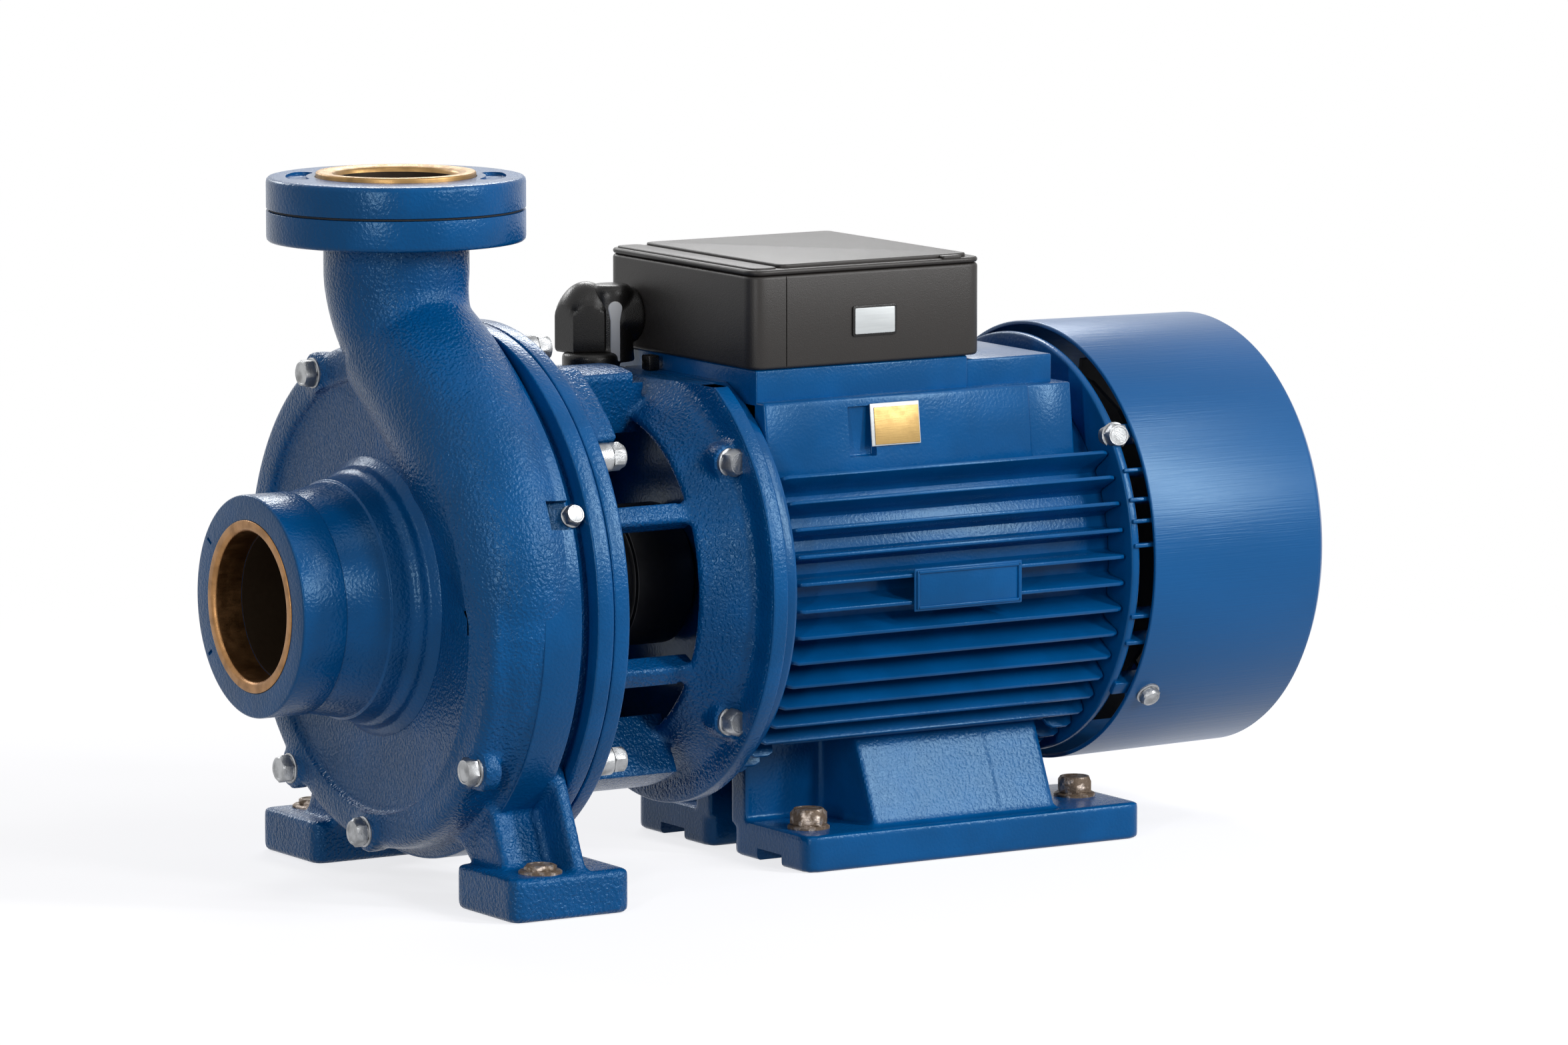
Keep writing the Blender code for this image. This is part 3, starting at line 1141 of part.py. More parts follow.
def cooling_fan():
    x0 = FAN_FRONT_X
    outer = [
        (x0, FAN_RADIUS - 0.010), (x0 + FAN_PLATE, FAN_RADIUS - 0.010), (x0 + FAN_PLATE, FAN_HUB_RADIUS),
        (x0 + FAN_WIDTH, FAN_HUB_RADIUS - 0.002),
    ]
    bore = bored(FAN_SEAT_RADIUS)
    fan = turned("cooling_fan", outer, [(x0, bore), (x0 + FAN_WIDTH, bore)])
    for i in range(FAN_BLADES):
        blade = turned_block(
            "blade", (x0 + FAN_PLATE / 2, x0 + FAN_WIDTH - 0.003), 360.0 / FAN_BLADES * i,
            (FAN_HUB_RADIUS - 0.006, FAN_RADIUS), FAN_BLADE_THICKNESS,
        )
        fan = join(fan, blade)
    return fan


FINISHES = {
    "suction_nozzle": "blue_paint", "discharge_neck": "blue_paint",
    "volute_casing": "blue_paint", "casing_cover": "cast_iron", "suction_ring": "bronze",
    "discharge_flange": "blue_paint", "flange_gasket": "rubber", "discharge_ring": "brass",
    "lantern_bracket": "blue_paint", "seal_housing": "dark_steel", "motor_front_shield": "blue_paint",
    "front_bearing": "steel", "motor_frame": "blue_paint", "rear_bearing": "steel",
    "motor_rear_shield": "blue_paint", "fan_cowl": "cowl_paint", "terminal_box_body": "black_plastic",
    "terminal_box_lid": "black_plastic", "gland_elbow": "black_plastic", "gland_cap": "black_plastic",
    "nameplate": "brass", "side_plate": "blue_paint", "box_label": "label_white",
    "motor_foot_near": "blue_paint", "motor_foot_far": "blue_paint", "shaft": "steel",
    "coupling_sleeve": "dark_steel", "impeller": "bronze", "impeller_nut": "bronze",
    "cooling_fan": "fan_plastic",
}
ROTOR = ("shaft", "coupling_sleeve", "impeller", "impeller_nut", "cooling_fan")


def finish(materials):
    """Colours every piece and hangs it under its empty, with the pump centred over the origin."""
    front = NOZZLE_FACE_X - SUCTION_RING_PROUD
    middle = (front + COWL_REAR_X) / 2.0
    frame = bpy.data.objects.new("pump_frame", None)
    frame.location = (-middle, 0.0, 0.0)
    rotor = bpy.data.objects.new("rotor_axis", None)
    rotor.location = (0.0, 0.0, SHAFT_HEIGHT)
    rotor.parent = frame
    PARTS.objects.link(frame)
    PARTS.objects.link(rotor)
    for name, finish_name in FINISHES.items():
        obj = PARTS.objects[name]
        obj.data.materials.clear()
        obj.data.materials.append(materials[finish_name])
        obj.data.shade_smooth()
        obj.data.set_sharp_from_angle(angle=math.radians(35.0))
        if name in ROTOR:
            for vert in obj.data.vertices:
                vert.co.z -= SHAFT_HEIGHT
            obj.parent = rotor
        else:
            obj.parent = frame


def main():
    suction_nozzle()
    discharge_neck()
    volute_casing()
    suction_ring()
    discharge_pieces()
    casing_cover()
    seal_housing()
    lantern_bracket()
    motor_shields()
    motor_frame()
    near = motor_foot()
    mirrored(near, "motor_foot_far")
    fan_cowl()
    terminal_box()
    cable_gland()
    plates()
    shaft()
    coupling_sleeve()
    impeller()
    impeller_nut()
    cooling_fan()
    finish(make_materials())


clear_scene()
PARTS = make_collection("centrifugal_pump")
main()
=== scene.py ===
"""Finish and fine pieces of an end-suction centrifugal pump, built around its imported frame.

Metres, +Z up. The frame's solids keep their places; what is made here rides on their bodies.
Pieces are drawn in the pump's own frame, whose x = 0 is the axis of the discharge flange.
"""

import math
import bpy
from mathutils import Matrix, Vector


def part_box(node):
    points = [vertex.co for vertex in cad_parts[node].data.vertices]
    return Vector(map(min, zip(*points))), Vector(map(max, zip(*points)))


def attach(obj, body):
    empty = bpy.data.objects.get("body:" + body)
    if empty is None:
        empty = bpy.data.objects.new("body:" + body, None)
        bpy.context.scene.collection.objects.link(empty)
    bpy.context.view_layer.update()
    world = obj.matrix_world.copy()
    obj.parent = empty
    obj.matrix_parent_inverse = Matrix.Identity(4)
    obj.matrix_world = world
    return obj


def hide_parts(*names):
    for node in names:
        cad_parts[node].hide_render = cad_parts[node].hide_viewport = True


bl_info = {
    "name": "End-suction pump finish",
    "version": (1, 0, 0),
    "blender": (4, 5, 0),
    "location": "View3D > Sidebar > Pump",
    "description": "Cast, turned and pressed pieces, bolts, paint and studio for a close-coupled pump",
    "category": "Object",
}

import bmesh
import bpy
from bpy.props import FloatProperty, FloatVectorProperty, PointerProperty
from mathutils import Matrix, Vector

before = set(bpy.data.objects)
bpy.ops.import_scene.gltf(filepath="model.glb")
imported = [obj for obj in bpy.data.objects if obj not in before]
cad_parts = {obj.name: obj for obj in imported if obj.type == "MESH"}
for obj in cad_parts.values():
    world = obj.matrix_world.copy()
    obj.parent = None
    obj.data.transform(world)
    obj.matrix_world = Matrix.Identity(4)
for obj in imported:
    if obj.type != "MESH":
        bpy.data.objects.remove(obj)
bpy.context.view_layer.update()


def span(node, axis):
    """Lowest and highest coordinate of a CAD node along axis 0, 1 or 2, in the pump's frame."""
    low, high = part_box(node)
    shift = AXIS_X if axis == 0 else 0.0
    return low[axis] - shift, high[axis] - shift


# Places read from the frame
AXIS_X = sum(corner.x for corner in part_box("discharge_flange")) / 2.0
SHAFT_Z = sum(span("shaft", 2)) / 2.0
FACE_X = span("suction_nozzle", 0)[0]
FLANGE_END_X = span("casing_cover", 0)[1]
FLANGE_RADIUS = span("volute_casing", 1)[1]
PORT_RADIUS = span("discharge_flange", 1)[1]
PORT_LOW_Z, PORT_TOP_Z = span("discharge_flange", 2)
CASING_TOP_Z = span("discharge_neck", 2)[1]
PORT_FLANGE = PORT_TOP_Z - PORT_LOW_Z
BRACKET_X = span("lantern_bracket", 0)
FRONT_SHIELD_X = span("motor_front_shield", 0)
FRAME_X = span("motor_frame", 0)
REAR_SHIELD_X = span("motor_rear_shield", 0)
COWL_X = span("fan_cowl", 0)
COWL_RADIUS = span("fan_cowl", 1)[1]
BOX_X = span("terminal_box_body", 0)
BOX_Y = span("terminal_box_body", 1)[1]
BOX_Z = span("terminal_box_body", 2)
LID_Z = span("terminal_box_lid", 2)
FOOT_X = span("motor_foot_near", 0)
FOOT_Y = span("motor_foot_near", 1)
FOOT_TOP_Z = span("motor_foot_near", 2)[1]
SLEEVE_X = span("coupling_sleeve", 0)
SLEEVE_RADIUS = span("coupling_sleeve", 1)[1]

# Casing, in steps from the body flange
BAND_RADIUS = FLANGE_RADIUS - 0.002
CASING_RADIUS = FLANGE_RADIUS - 0.0107
GROOVE_RADIUS = FLANGE_RADIUS - 0.012
RECESS_RADIUS = CASING_RADIUS - 0.0243
SPIGOT_RADIUS = FLANGE_RADIUS - 0.027
CASING_FRONT_X = -0.0235
RECESS_X = -0.019
BAND_X = (0.005, 0.0355)
FLANGE_START_X = 0.046
SUCTION_BORE = 0.0477
RING_SEAT_RADIUS = 0.0553
RING_SEAT_DEPTH = 0.020
CHAMBER_RADIUS = 0.114
CHAMBER_FRONT_X = -0.012
NOZZLE_RADIUS = 0.071
NOZZLE_COLLAR = 0.0307
STEP_LINE_X = -0.0480
NOZZLE_STEP = 0.0012
NOZZLE_ROOT_RADIUS = 0.0844
CAST_WALL = 0.0095

# Volute and throat
VOLUTE_X = 0.010
VOLUTE_RADII = (0.027, 0.040)
VOLUTE_START = 100.0
VOLUTE_REACH = BAND_RADIUS - VOLUTE_RADII[1]
THROAT_SWELL = 0.007
THROAT_SINK = 0.020
NECK_RADIUS = 0.0465
NECK_LENGTH = 0.040
PORT_BORE = 0.0385

# Pump feet
PAD_X = (-0.012, 0.0745)
PAD_Y = (0.090, 0.165)
PAD_HEIGHT = 0.028

# Lantern bracket
BELL_X = 0.158
BELL_LIP = 0.111
BELL_RADIUS = 0.131
BELL_FLANGE_RADIUS = 0.150
BELL_FLANGE_X = 0.188
RIB_ANGLE = 29.0
RIB_INNER = 0.094

# Motor
BARREL_RADIUS = 0.113
FIN_TIP_RADIUS = 0.136
FIN_PITCH = 7.5
FIN_FIRST = 2.3
SHIELD_RADIUS = 0.140
PANEL_END_X = 0.418
PANEL_REAR_X = 0.4515
PANEL_RISE = (0.066, 0.1185)
PANEL_Y = (0.103, 0.097)
PEDESTAL_Y = 0.088
PEDESTAL_X = 0.376
STEP_X = 0.443
STEP_Y = 0.086
STEP_DROP = 0.003

STEPS = 144
GRAIN = 1000.0


def polar(angle, radius):
    """(y, z) at an angle from the near side, -Y, turning upwards, about the shaft."""
    turn = math.radians(angle)
    return -radius * math.cos(turn), SHAFT_Z + radius * math.sin(turn)


def arc(middle, radius, start, end, count):
    """Points on an arc about (u, v), with its angles in degrees."""
    points = []
    for i in range(count + 1):
        turn = math.radians(start + (end - start) * i / count)
        points.append((middle[0] + radius * math.cos(turn), middle[1] + radius * math.sin(turn)))
    return points


def rounded(points, radius, count=3, closed=True):
    """An outline with each corner turned into a short curve that starts radius away from it."""
    made = []
    total = len(points)
    for i, point in enumerate(points):
        if not closed and i in (0, total - 1):
            made.append(tuple(point[:2]))
            continue
        here = Vector(point[:2])
        before = Vector(points[i - 1][:2]) - here
        after = Vector(points[(i + 1) % total][:2]) - here
        reach = point[2] if len(point) > 2 else radius
        if reach == 0.0:
            made.append(tuple(here))
            continue
        start = here + before.normalized() * min(reach, before.length * 0.45)
        end = here + after.normalized() * min(reach, after.length * 0.45)
        for k in range(count + 1):
            share = k / count
            spot = start * (1 - share) ** 2 + here * 2 * share * (1 - share) + end * share ** 2
            made.append(tuple(spot))
    return made


def settle(obj):
    """Applies an object's modifiers and place to a plain mesh of its own."""
    bpy.context.view_layer.update()
    depsgraph = bpy.context.evaluated_depsgraph_get()
    mesh = bpy.data.meshes.new_from_object(obj.evaluated_get(depsgraph), depsgraph=depsgraph)
    mesh.transform(obj.matrix_world)
    name = obj.name
    old = obj.data
    bpy.data.objects.remove(obj, do_unlink=True)
    bpy.data.meshes.remove(old)
    made = bpy.data.objects.new(name, mesh)
    bpy.context.scene.collection.objects.link(made)
    return made


def shaped(name, bm, sharp=38.0):
    """Ends a bmesh as an object in the frame's place, smooth but for its sharp edges."""
    bmesh.ops.remove_doubles(bm, verts=bm.verts, dist=0.000005)
    bmesh.ops.recalc_face_normals(bm, faces=bm.faces)
    mesh = bpy.data.meshes.new(name)
    bm.to_mesh(mesh)
    bm.free()
    mesh.transform(Matrix.Translation((AXIS_X, 0.0, 0.0)))
    mesh.shade_smooth()
    mesh.set_sharp_from_angle(angle=math.radians(sharp))
    obj = bpy.data.objects.new(name, mesh)
    bpy.context.scene.collection.objects.link(obj)
    return obj


def smoothed(obj, sharp=38.0):
    obj.data.shade_smooth()
    obj.data.set_sharp_from_angle(angle=math.radians(sharp))
    return obj


def turned(name, loop, steps=STEPS, centre=None, upright=False):
    """A closed (station, radius) loop turned about the shaft's line, or about a vertical one."""
    bm = bmesh.new()
    ring = [bm.verts.new((radius, 0.0, station)) for station, radius in loop]
    edges = []
    for i, (a, b) in enumerate(zip(ring, ring[1:] + ring[:1])):
        if loop[i][1] > 0.0 or loop[(i + 1) % len(loop)][1] > 0.0:
            edges.append(bm.edges.new((a, b)))
    bmesh.ops.spin(
        bm, geom=ring + edges, cent=(0.0, 0.0, 0.0), axis=(0.0, 0.0, 1.0),
        angle=math.tau, steps=steps, use_merge=True,
    )
    if not upright:
        bmesh.ops.rotate(bm, verts=bm.verts, cent=(0.0, 0.0, 0.0), matrix=Matrix.Rotation(math.pi / 2, 3, "Y"))
    place = centre or (0.0, 0.0, 0.0 if upright else SHAFT_Z)
    bmesh.ops.translate(bm, verts=bm.verts, vec=place)
    return shaped(name, bm)


def ring_of(name, x_span, radii, edge=0.001, steps=STEPS):
    (x0, x1), (inner, outer) = x_span, radii
    loop = [(x0, outer), (x1, outer), (x1, inner, 0.0), (x0, inner, 0.0)]
    return turned(name, rounded(loop, edge), steps)


def loft(name, rings, sharp=38.0):
    """A closed skin over rings of as many points each, with flat ends."""
    bm = bmesh.new()
    rows = [[bm.verts.new(point) for point in ring] for ring in rings]
    for low, high in zip(rows, rows[1:]):
        for k in range(len(low)):
            after = (k + 1) % len(low)
            bm.faces.new((low[k], low[after], high[after], high[k]))
    bm.faces.new(list(reversed(rows[0])))
    bm.faces.new(rows[-1])
    return shaped(name, bm, sharp)


def prism(name, outline, low, high, axis, edge=0.0, segments=3):
    """A flat outline pushed along an axis. Along X it is (y, z), along Y (x, z), along Z (x, y)."""
    def spot(u, v, station):
        return {"X": (station, u, v), "Y": (u, station, v), "Z": (u, v, station)}[axis]

    obj = loft(name, [[spot(u, v, station) for u, v in outline] for station in (low, high)])
    if edge:
        bevel = obj.modifiers.new("edge", "BEVEL")
        bevel.width = edge
        bevel.segments = segments
        bevel.limit_method = "ANGLE"
        bevel.angle_limit = math.radians(30.0)
        obj = smoothed(settle(obj))
    return obj


def block(name, x_span, y_span, z_span, edge=0.0):
    (y0, y1), (z0, z1) = y_span, z_span
    return prism(name, [(y0, z0), (y1, z0), (y1, z1), (y0, z1)], x_span[0], x_span[1], "X", edge)


def radial_block(name, x_span, angle, radii, width, edge=0.0):
    """A straight-sided block that stands out from the shaft's line at an angle."""
    turn = math.radians(angle)
    out, side = (-math.cos(turn), math.sin(turn)), (math.sin(turn), math.cos(turn))
    outline = []
    for radius, half in ((radii[0], -1), (radii[1], -1), (radii[1], 1), (radii[0], 1)):
        step = half * width / 2.0
        outline.append((out[0] * radius + side[0] * step, SHAFT_Z + out[1] * radius + side[1] * step))
    return prism(name, outline, x_span[0], x_span[1], "X", edge)


def sector(name, x_span, angles, radii, count=16, edge=0.0):
    (start, end), (inner, outer) = angles, radii
    steps = [start + (end - start) * i / count for i in range(count + 1)]
    outline = [polar(angle, outer) for angle in steps] + [polar(angle, inner) for angle in reversed(steps)]
    return prism(name, outline, x_span[0], x_span[1], "X", edge)


def mirrored(obj, name):
    """A copy on the other side of the pump's middle plane."""
    mesh = obj.data.copy()
    mesh.transform(Matrix.Scale(-1.0, 4, (0.0, 1.0, 0.0)))
    mesh.flip_normals()
    made = bpy.data.objects.new(name, mesh)
    bpy.context.scene.collection.objects.link(made)
    return made


def gathered(name, pieces):
    """Several meshes as one object, each still a closed body."""
    bm = bmesh.new()
    for piece in pieces:
        bm.from_mesh(piece.data)
        mesh = piece.data
        bpy.data.objects.remove(piece, do_unlink=True)
        bpy.data.meshes.remove(mesh)
    mesh = bpy.data.meshes.new(name)
    bm.to_mesh(mesh)
    bm.free()
    made = bpy.data.objects.new(name, mesh)
    bpy.context.scene.collection.objects.link(made)
    return smoothed(made)


def cast(name, pieces, voxel, rounds=5, keep=0.5):
    """Melts closed pieces into one casting, with soft corners and fillets where they meet."""
    obj = gathered(name, pieces)
    melt = obj.modifiers.new("melt", "REMESH")
    melt.mode = "VOXEL"
    melt.voxel_size = voxel
    melt.use_smooth_shade = True
    relax = obj.modifiers.new("relax", "SMOOTH")
    relax.factor = 0.5
    relax.iterations = rounds
    if keep < 1.0:
        thin = obj.modifiers.new("thin", "DECIMATE")
        thin.ratio = keep
    return settle(obj)


def cut(obj, *cutters, solver="MANIFOLD"):
    for cutter in cutters:
        tool = obj.modifiers.new("cut", "BOOLEAN")
        tool.operation = "DIFFERENCE"
        tool.solver = solver
        tool.object = cutter
    obj = settle(obj)
    for cutter in cutters:
        bpy.data.objects.remove(cutter, do_unlink=True)
    return smoothed(obj)


def cylinder(name, place, direction, radius, length, edge=0.0, steps=48):
    """A turned plug from a point, along a direction."""
    loop = rounded([(0.0, 0.0, 0.0), (0.0, radius), (length, radius), (length, 0.0, 0.0)], edge, closed=False)
    obj = turned(name, loop, steps, (0.0, 0.0, 0.0), upright=True)
    return aimed(obj, place, direction)


def aimed(obj, place, direction, spin=0.0):
    """Turns a mesh drawn up the Z axis at the frame's x = 0 so that it stands at a place, along a direction."""
    turn = Vector((0.0, 0.0, 1.0)).rotation_difference(Vector(direction).normalized()).to_matrix().to_4x4()
    home = Matrix.Translation((-AXIS_X, 0.0, 0.0))
    there = Matrix.Translation((place[0] + AXIS_X, place[1], place[2]))
    obj.data.transform(there @ turn @ Matrix.Rotation(math.radians(spin), 4, "Z") @ home)
    return obj


def hex_bolt(name, place, direction, width, height, washer, spin=0.0, sink=0.002):
    """A hexagon head with a chamfered top on a round washer, as one closed skin."""
    count = 24
    thick = width * 0.13

    def circle(station, radius):
        return [(*point, station) for point in arc((0.0, 0.0), radius, 0.0, 360.0 - 360.0 / count, count - 1)]

    def hexagon(station, shrink=1.0):
        ring = []
        for k in range(count):
            angle = 360.0 * k / count
            off = math.radians((angle + 30.0) % 60.0 - 30.0)
            radius = width / 2.0 / math.cos(off) * shrink
            ring.append((
                radius * math.cos(math.radians(angle)), radius * math.sin(math.radians(angle)), station,
            ))
        return ring

    rings = [
        circle(-sink, washer), circle(thick * 0.7, washer), circle(thick, washer - thick * 0.4),
        circle(thick, width * 0.5), circle(thick * 1.15, width * 0.49),
        hexagon(thick * 1.3), hexagon(height * 0.80), circle(height, width * 0.46),
        circle(height, width * 0.40), circle(height - thick * 0.18, width * 0.37),
    ]
    return aimed(loft(name, rings, 30.0), place, direction, spin)


def dress(obj, finish, body="housing", stands_for=()):
    """Paints a piece, sets it on its body and hides the CAD nodes it stands for."""
    obj.data.materials.clear()
    obj.data.materials.append(FINISHES[finish])
    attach(obj, body)
    if stands_for:
        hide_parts(*stands_for)
    return obj


class Wire:
    """A shader socket that grows Math nodes when it is used in an expression."""

    def __init__(self, shop, socket):
        self.shop = shop
        self.socket = socket

    def _math(self, operation, *others, swapped=False):
        values = [self, *others]
        if swapped:
            values.reverse()
        return self.shop.node("ShaderNodeMath", {"operation": operation}, dict(enumerate(values)))

    def __add__(self, other):
        return self._math("ADD", other)

    __radd__ = __add__

    def __sub__(self, other):
        return self._math("SUBTRACT", other)

    def __rsub__(self, other):
        return self._math("SUBTRACT", other, swapped=True)

    def __mul__(self, other):
        return self._math("MULTIPLY", other)

    __rmul__ = __mul__

    def __truediv__(self, other):
        return self._math("DIVIDE", other)

    def __pow__(self, other):
        return self._math("POWER", other)

    def __gt__(self, other):
        return self._math("GREATER_THAN", other)

    def between(self, low, high):
        """0 below low, 1 above high and a smooth rise from one to the other."""
        settings = {"interpolation_type": "SMOOTHSTEP"}
        return self.shop.node("ShaderNodeMapRange", settings, {"Value": self, "From Min": low, "From Max": high})


class Shop:
    """Makes the nodes of one material."""

    def __init__(self, tree):
        self.tree = tree

    def feed(self, socket, value):
        if isinstance(value, Wire):
            self.tree.links.new(value.socket, socket)
        else:
            socket.default_value = value

    def node(self, kind, settings=None, values=None, output=0):
        """A node of a kind, with its settings first and then its sockets' values or links."""
        made = self.tree.nodes.new(kind)
        for name, value in (settings or {}).items():
            if name == "stops":
                for stop, (place, colour) in zip(made.color_ramp.elements, value):
                    stop.position = place
                    stop.color = colour
            else:
                setattr(made, name, value)
        for name, value in (values or {}).items():
            self.feed(made.inputs[name], value)
        return Wire(self, made.outputs[output])

    def place(self, stretch=(1.0, 1.0, 1.0)):
        """The object's own coordinates, in metres, stretched by a factor along each axis."""
        spot = self.node("ShaderNodeTexCoord", output="Object")
        return self.node("ShaderNodeVectorMath", {"operation": "MULTIPLY"}, {0: spot, 1: stretch})

    def noise(self, scale, detail=2.0, stretch=(1.0, 1.0, 1.0), rough=0.5):
        """Soft noise about scale cells to the metre."""
        values = {"Vector": self.place(stretch), "Scale": scale, "Detail": detail, "Roughness": rough}
        return self.node("ShaderNodeTexNoise", None, values, "Fac")

    def cells(self, scale, stretch=(1.0, 1.0, 1.0)):
        values = {"Vector": self.place(stretch), "Scale": scale}
        return self.node("ShaderNodeTexVoronoi", {"feature": "SMOOTH_F1"}, values, "Distance")

    def blend(self, mask, first, second):
        """One colour where the mask is 0 and another where it is 1."""
        values = {"Factor": mask, "A": first, "B": second}
        made = self.tree.nodes.new("ShaderNodeMix")
        made.data_type = "RGBA"
        sockets = {"Factor": made.inputs[0], "A": made.inputs[6], "B": made.inputs[7]}
        for name, value in values.items():
            self.feed(sockets[name], value)
        return Wire(self, made.outputs[2])

    def bump(self, height, distance, strength=1.0):
        """A normal from a height between 0 and 1, where distance is the depth of 1, in metres."""
        values = {"Height": height, "Distance": distance, "Strength": strength}
        return self.node("ShaderNodeBump", None, values, "Normal")


def material(name, values):
    """A material from the values of its shader's sockets, made by a recipe on its own nodes."""
    made = bpy.data.materials.new(name)
    made.use_nodes = True
    shader = made.node_tree.nodes["Principled BSDF"]
    shop = Shop(made.node_tree)
    for socket, value in values(shop).items():
        shop.feed(shader.inputs[socket], value)
    return made


def shade(colour, factor):
    return (*(min(1.0, part * factor) for part in colour[:3]), 1.0)


def pale(colour, share):
    """A colour part of the way to white."""
    return (*(part + (1.0 - part) * share for part in colour[:3]), 1.0)


def cast_paint(colour, depth):
    """Glossy enamel over a sand casting: crisp orange peel on faint waves, with a blue sheen."""
    def recipe(shop):
        grain = shop.noise(0.50 * GRAIN, 1.5, rough=0.45)
        peel = shop.cells(0.38 * GRAIN)
        cloud = shop.noise(24.0, 4.0)
        wave = shop.noise(70.0, 2.0)
        height = grain.between(0.30, 0.72) * 0.62 + peel * 0.40 + wave * 0.22
        return {
            "Base Color": shop.blend(cloud.between(0.35, 0.70), shade(colour, 0.88), shade(colour, 1.10)),
            "Roughness": 0.18 + cloud * 0.08 + grain * 0.05,
            "Specular IOR Level": 0.29,
            "Specular Tint": SHEEN,
            "Normal": shop.bump(height, depth),
        }
    return recipe


def sheet_paint(colour):
    """Smooth enamel on pressed sheet, with faint lengthwise brush lines."""
    def recipe(shop):
        lines = shop.noise(900.0, 3.0, (0.02, 1.0, 1.0))
        cloud = shop.noise(14.0, 3.0, (0.4, 1.0, 1.0))
        return {
            "Base Color": shop.blend(cloud.between(0.3, 0.75), shade(colour, 0.95), shade(colour, 1.06)),
            "Roughness": 0.24 + lines * 0.08 + cloud * 0.04,
            "Specular IOR Level": 0.44,
            "Specular Tint": PALE_SHEEN,
            "Normal": shop.bump(lines * 0.7 + cloud * 0.8, 0.00020),
        }
    return recipe


def moulded_plastic(colour, rough):
    """Satin moulded plastic with a fine spark-eroded grain."""
    def recipe(shop):
        grain = shop.noise(1.6 * GRAIN, 2.0)
        cloud = shop.noise(18.0, 3.0)
        return {
            "Base Color": shop.blend(cloud, shade(colour, 0.92), shade(colour, 1.10)),
            "Roughness": rough + grain * 0.10 + cloud * 0.06,
            "Specular IOR Level": 0.34,
            "Normal": shop.bump(grain, 0.00012),
        }
    return recipe


def worked_metal(colour, rough, stretch, depth, dull=0.0, tint=0.55):
    """Bare metal with tool lines along one way and cloudy tarnish."""
    def recipe(shop):
        lines = shop.noise(1.4 * GRAIN, 2.0, stretch)
        tarnish = shop.noise(120.0, 4.0).between(0.35, 0.75)
        return {
            "Base Color": shop.blend(tarnish, colour, shade(colour, tint)),
            "Roughness": rough + lines * 0.12 + tarnish * 0.14,
            "Metallic": 1.0 - tarnish * dull,
            "Normal": shop.bump(lines * 0.6 + tarnish * 0.4, depth),
        }
    return recipe


def old_bolt(colour):
    """Rust-brown anchor bolts, pitted and rubbed bright in places."""
    def recipe(shop):
        pits = shop.noise(0.55 * GRAIN, 4.0)
        rub = shop.noise(160.0, 3.0).between(0.45, 0.62)
        return {
            "Base Color": shop.blend(rub, shade(colour, 0.45), pale(colour, 0.22)),
            "Roughness": 0.62 - rub * 0.22,
            "Metallic": 0.35 + rub * 0.45,
            "Normal": shop.bump(pits, 0.0006),
        }
    return recipe


def plain(colour, rough, metallic=0.0, grain_depth=0.0002):
    """A quiet finish with a little mottle, for what sits in shadow."""
    def recipe(shop):
        mottle = shop.noise(0.25 * GRAIN, 3.0)
        return {
            "Base Color": shop.blend(mottle, shade(colour, 0.85), shade(colour, 1.15)),
            "Roughness": rough + mottle * 0.10,
            "Metallic": metallic,
            "Normal": shop.bump(mottle, grain_depth),
        }
    return recipe


def label_sheet(colour):
    """A printed sheet label: pale, satin, with a faint brushed look."""
    def recipe(shop):
        lines = shop.noise(700.0, 2.0, (0.05, 1.0, 1.0))
        return {
            "Base Color": shop.blend(lines, shade(colour, 0.88), shade(colour, 1.05)),
            "Roughness": 0.38 + lines * 0.15,
            "Metallic": 0.25,
            "Normal": shop.bump(lines, 0.00006),
        }
    return recipe


FINISHES = {}
SHEEN = (0.48, 0.78, 1.0, 1.0)
PALE_SHEEN = (0.58, 0.84, 1.0, 1.0)


def make_finishes(colours):
    """All the materials, from the panel's colours."""
    recipes = {
        "paint": cast_paint(colours.paint, 0.00055),
        "smooth_paint": cast_paint(colours.paint, 0.00017),
        "frame_paint": cast_paint(colours.paint, 0.00007),
        "foot_paint": cast_paint(colours.paint, 0.00011),
        # Paler paint on the fins' tips: a painted highlight along each fin's edge
        "fin_tip_painted_highlight": cast_paint(pale(colours.paint, 0.34), 0.00004),
        "cowl_paint": sheet_paint(colours.cowl),
        "plastic": moulded_plastic(colours.plastic, 0.34),
        "glossy_plastic": moulded_plastic(shade(colours.plastic, 0.30), 0.20),
        # Pale grey for the strip on the gland's elbow: a painted highlight
        "grey_painted_highlight": moulded_plastic((0.66, 0.66, 0.66, 1.0), 0.25),
        "brass": worked_metal(colours.brass, 0.30, (1.0, 1.0, 0.08), 0.00010, tint=0.72),
        "bronze": worked_metal(colours.bronze, 0.26, (0.08, 1.0, 1.0), 0.00012, tint=0.70),
        "plate_brass": worked_metal(colours.plate, 0.30, (0.06, 1.0, 1.0), 0.00008, tint=0.80),
        "zinc": worked_metal(colours.zinc, 0.28, (1.0, 1.0, 1.0), 0.00030, dull=0.2, tint=0.55),
        "anchor": old_bolt(colours.anchor),
        "steel": worked_metal((0.45, 0.45, 0.44, 1.0), 0.25, (0.08, 1.0, 1.0), 0.00010),
        "dark_steel": plain((0.018, 0.018, 0.020, 1.0), 0.34, 0.2, 0.0001),
        "iron": plain((0.10, 0.09, 0.08, 1.0), 0.6, 0.4, 0.0005),
        # Near-black brown for the thin sheets inside the bores: painted shade
        "bore": plain((0.020, 0.011, 0.004, 1.0), 0.55, 0.5),
        "rubber": plain((0.010, 0.012, 0.016, 1.0), 0.7),
        "label": label_sheet((0.60, 0.63, 0.64, 1.0)),
        "fan": plain((0.010, 0.010, 0.011, 1.0), 0.5),
    }
    for name, recipe in recipes.items():
        FINISHES[name] = material(name, recipe)


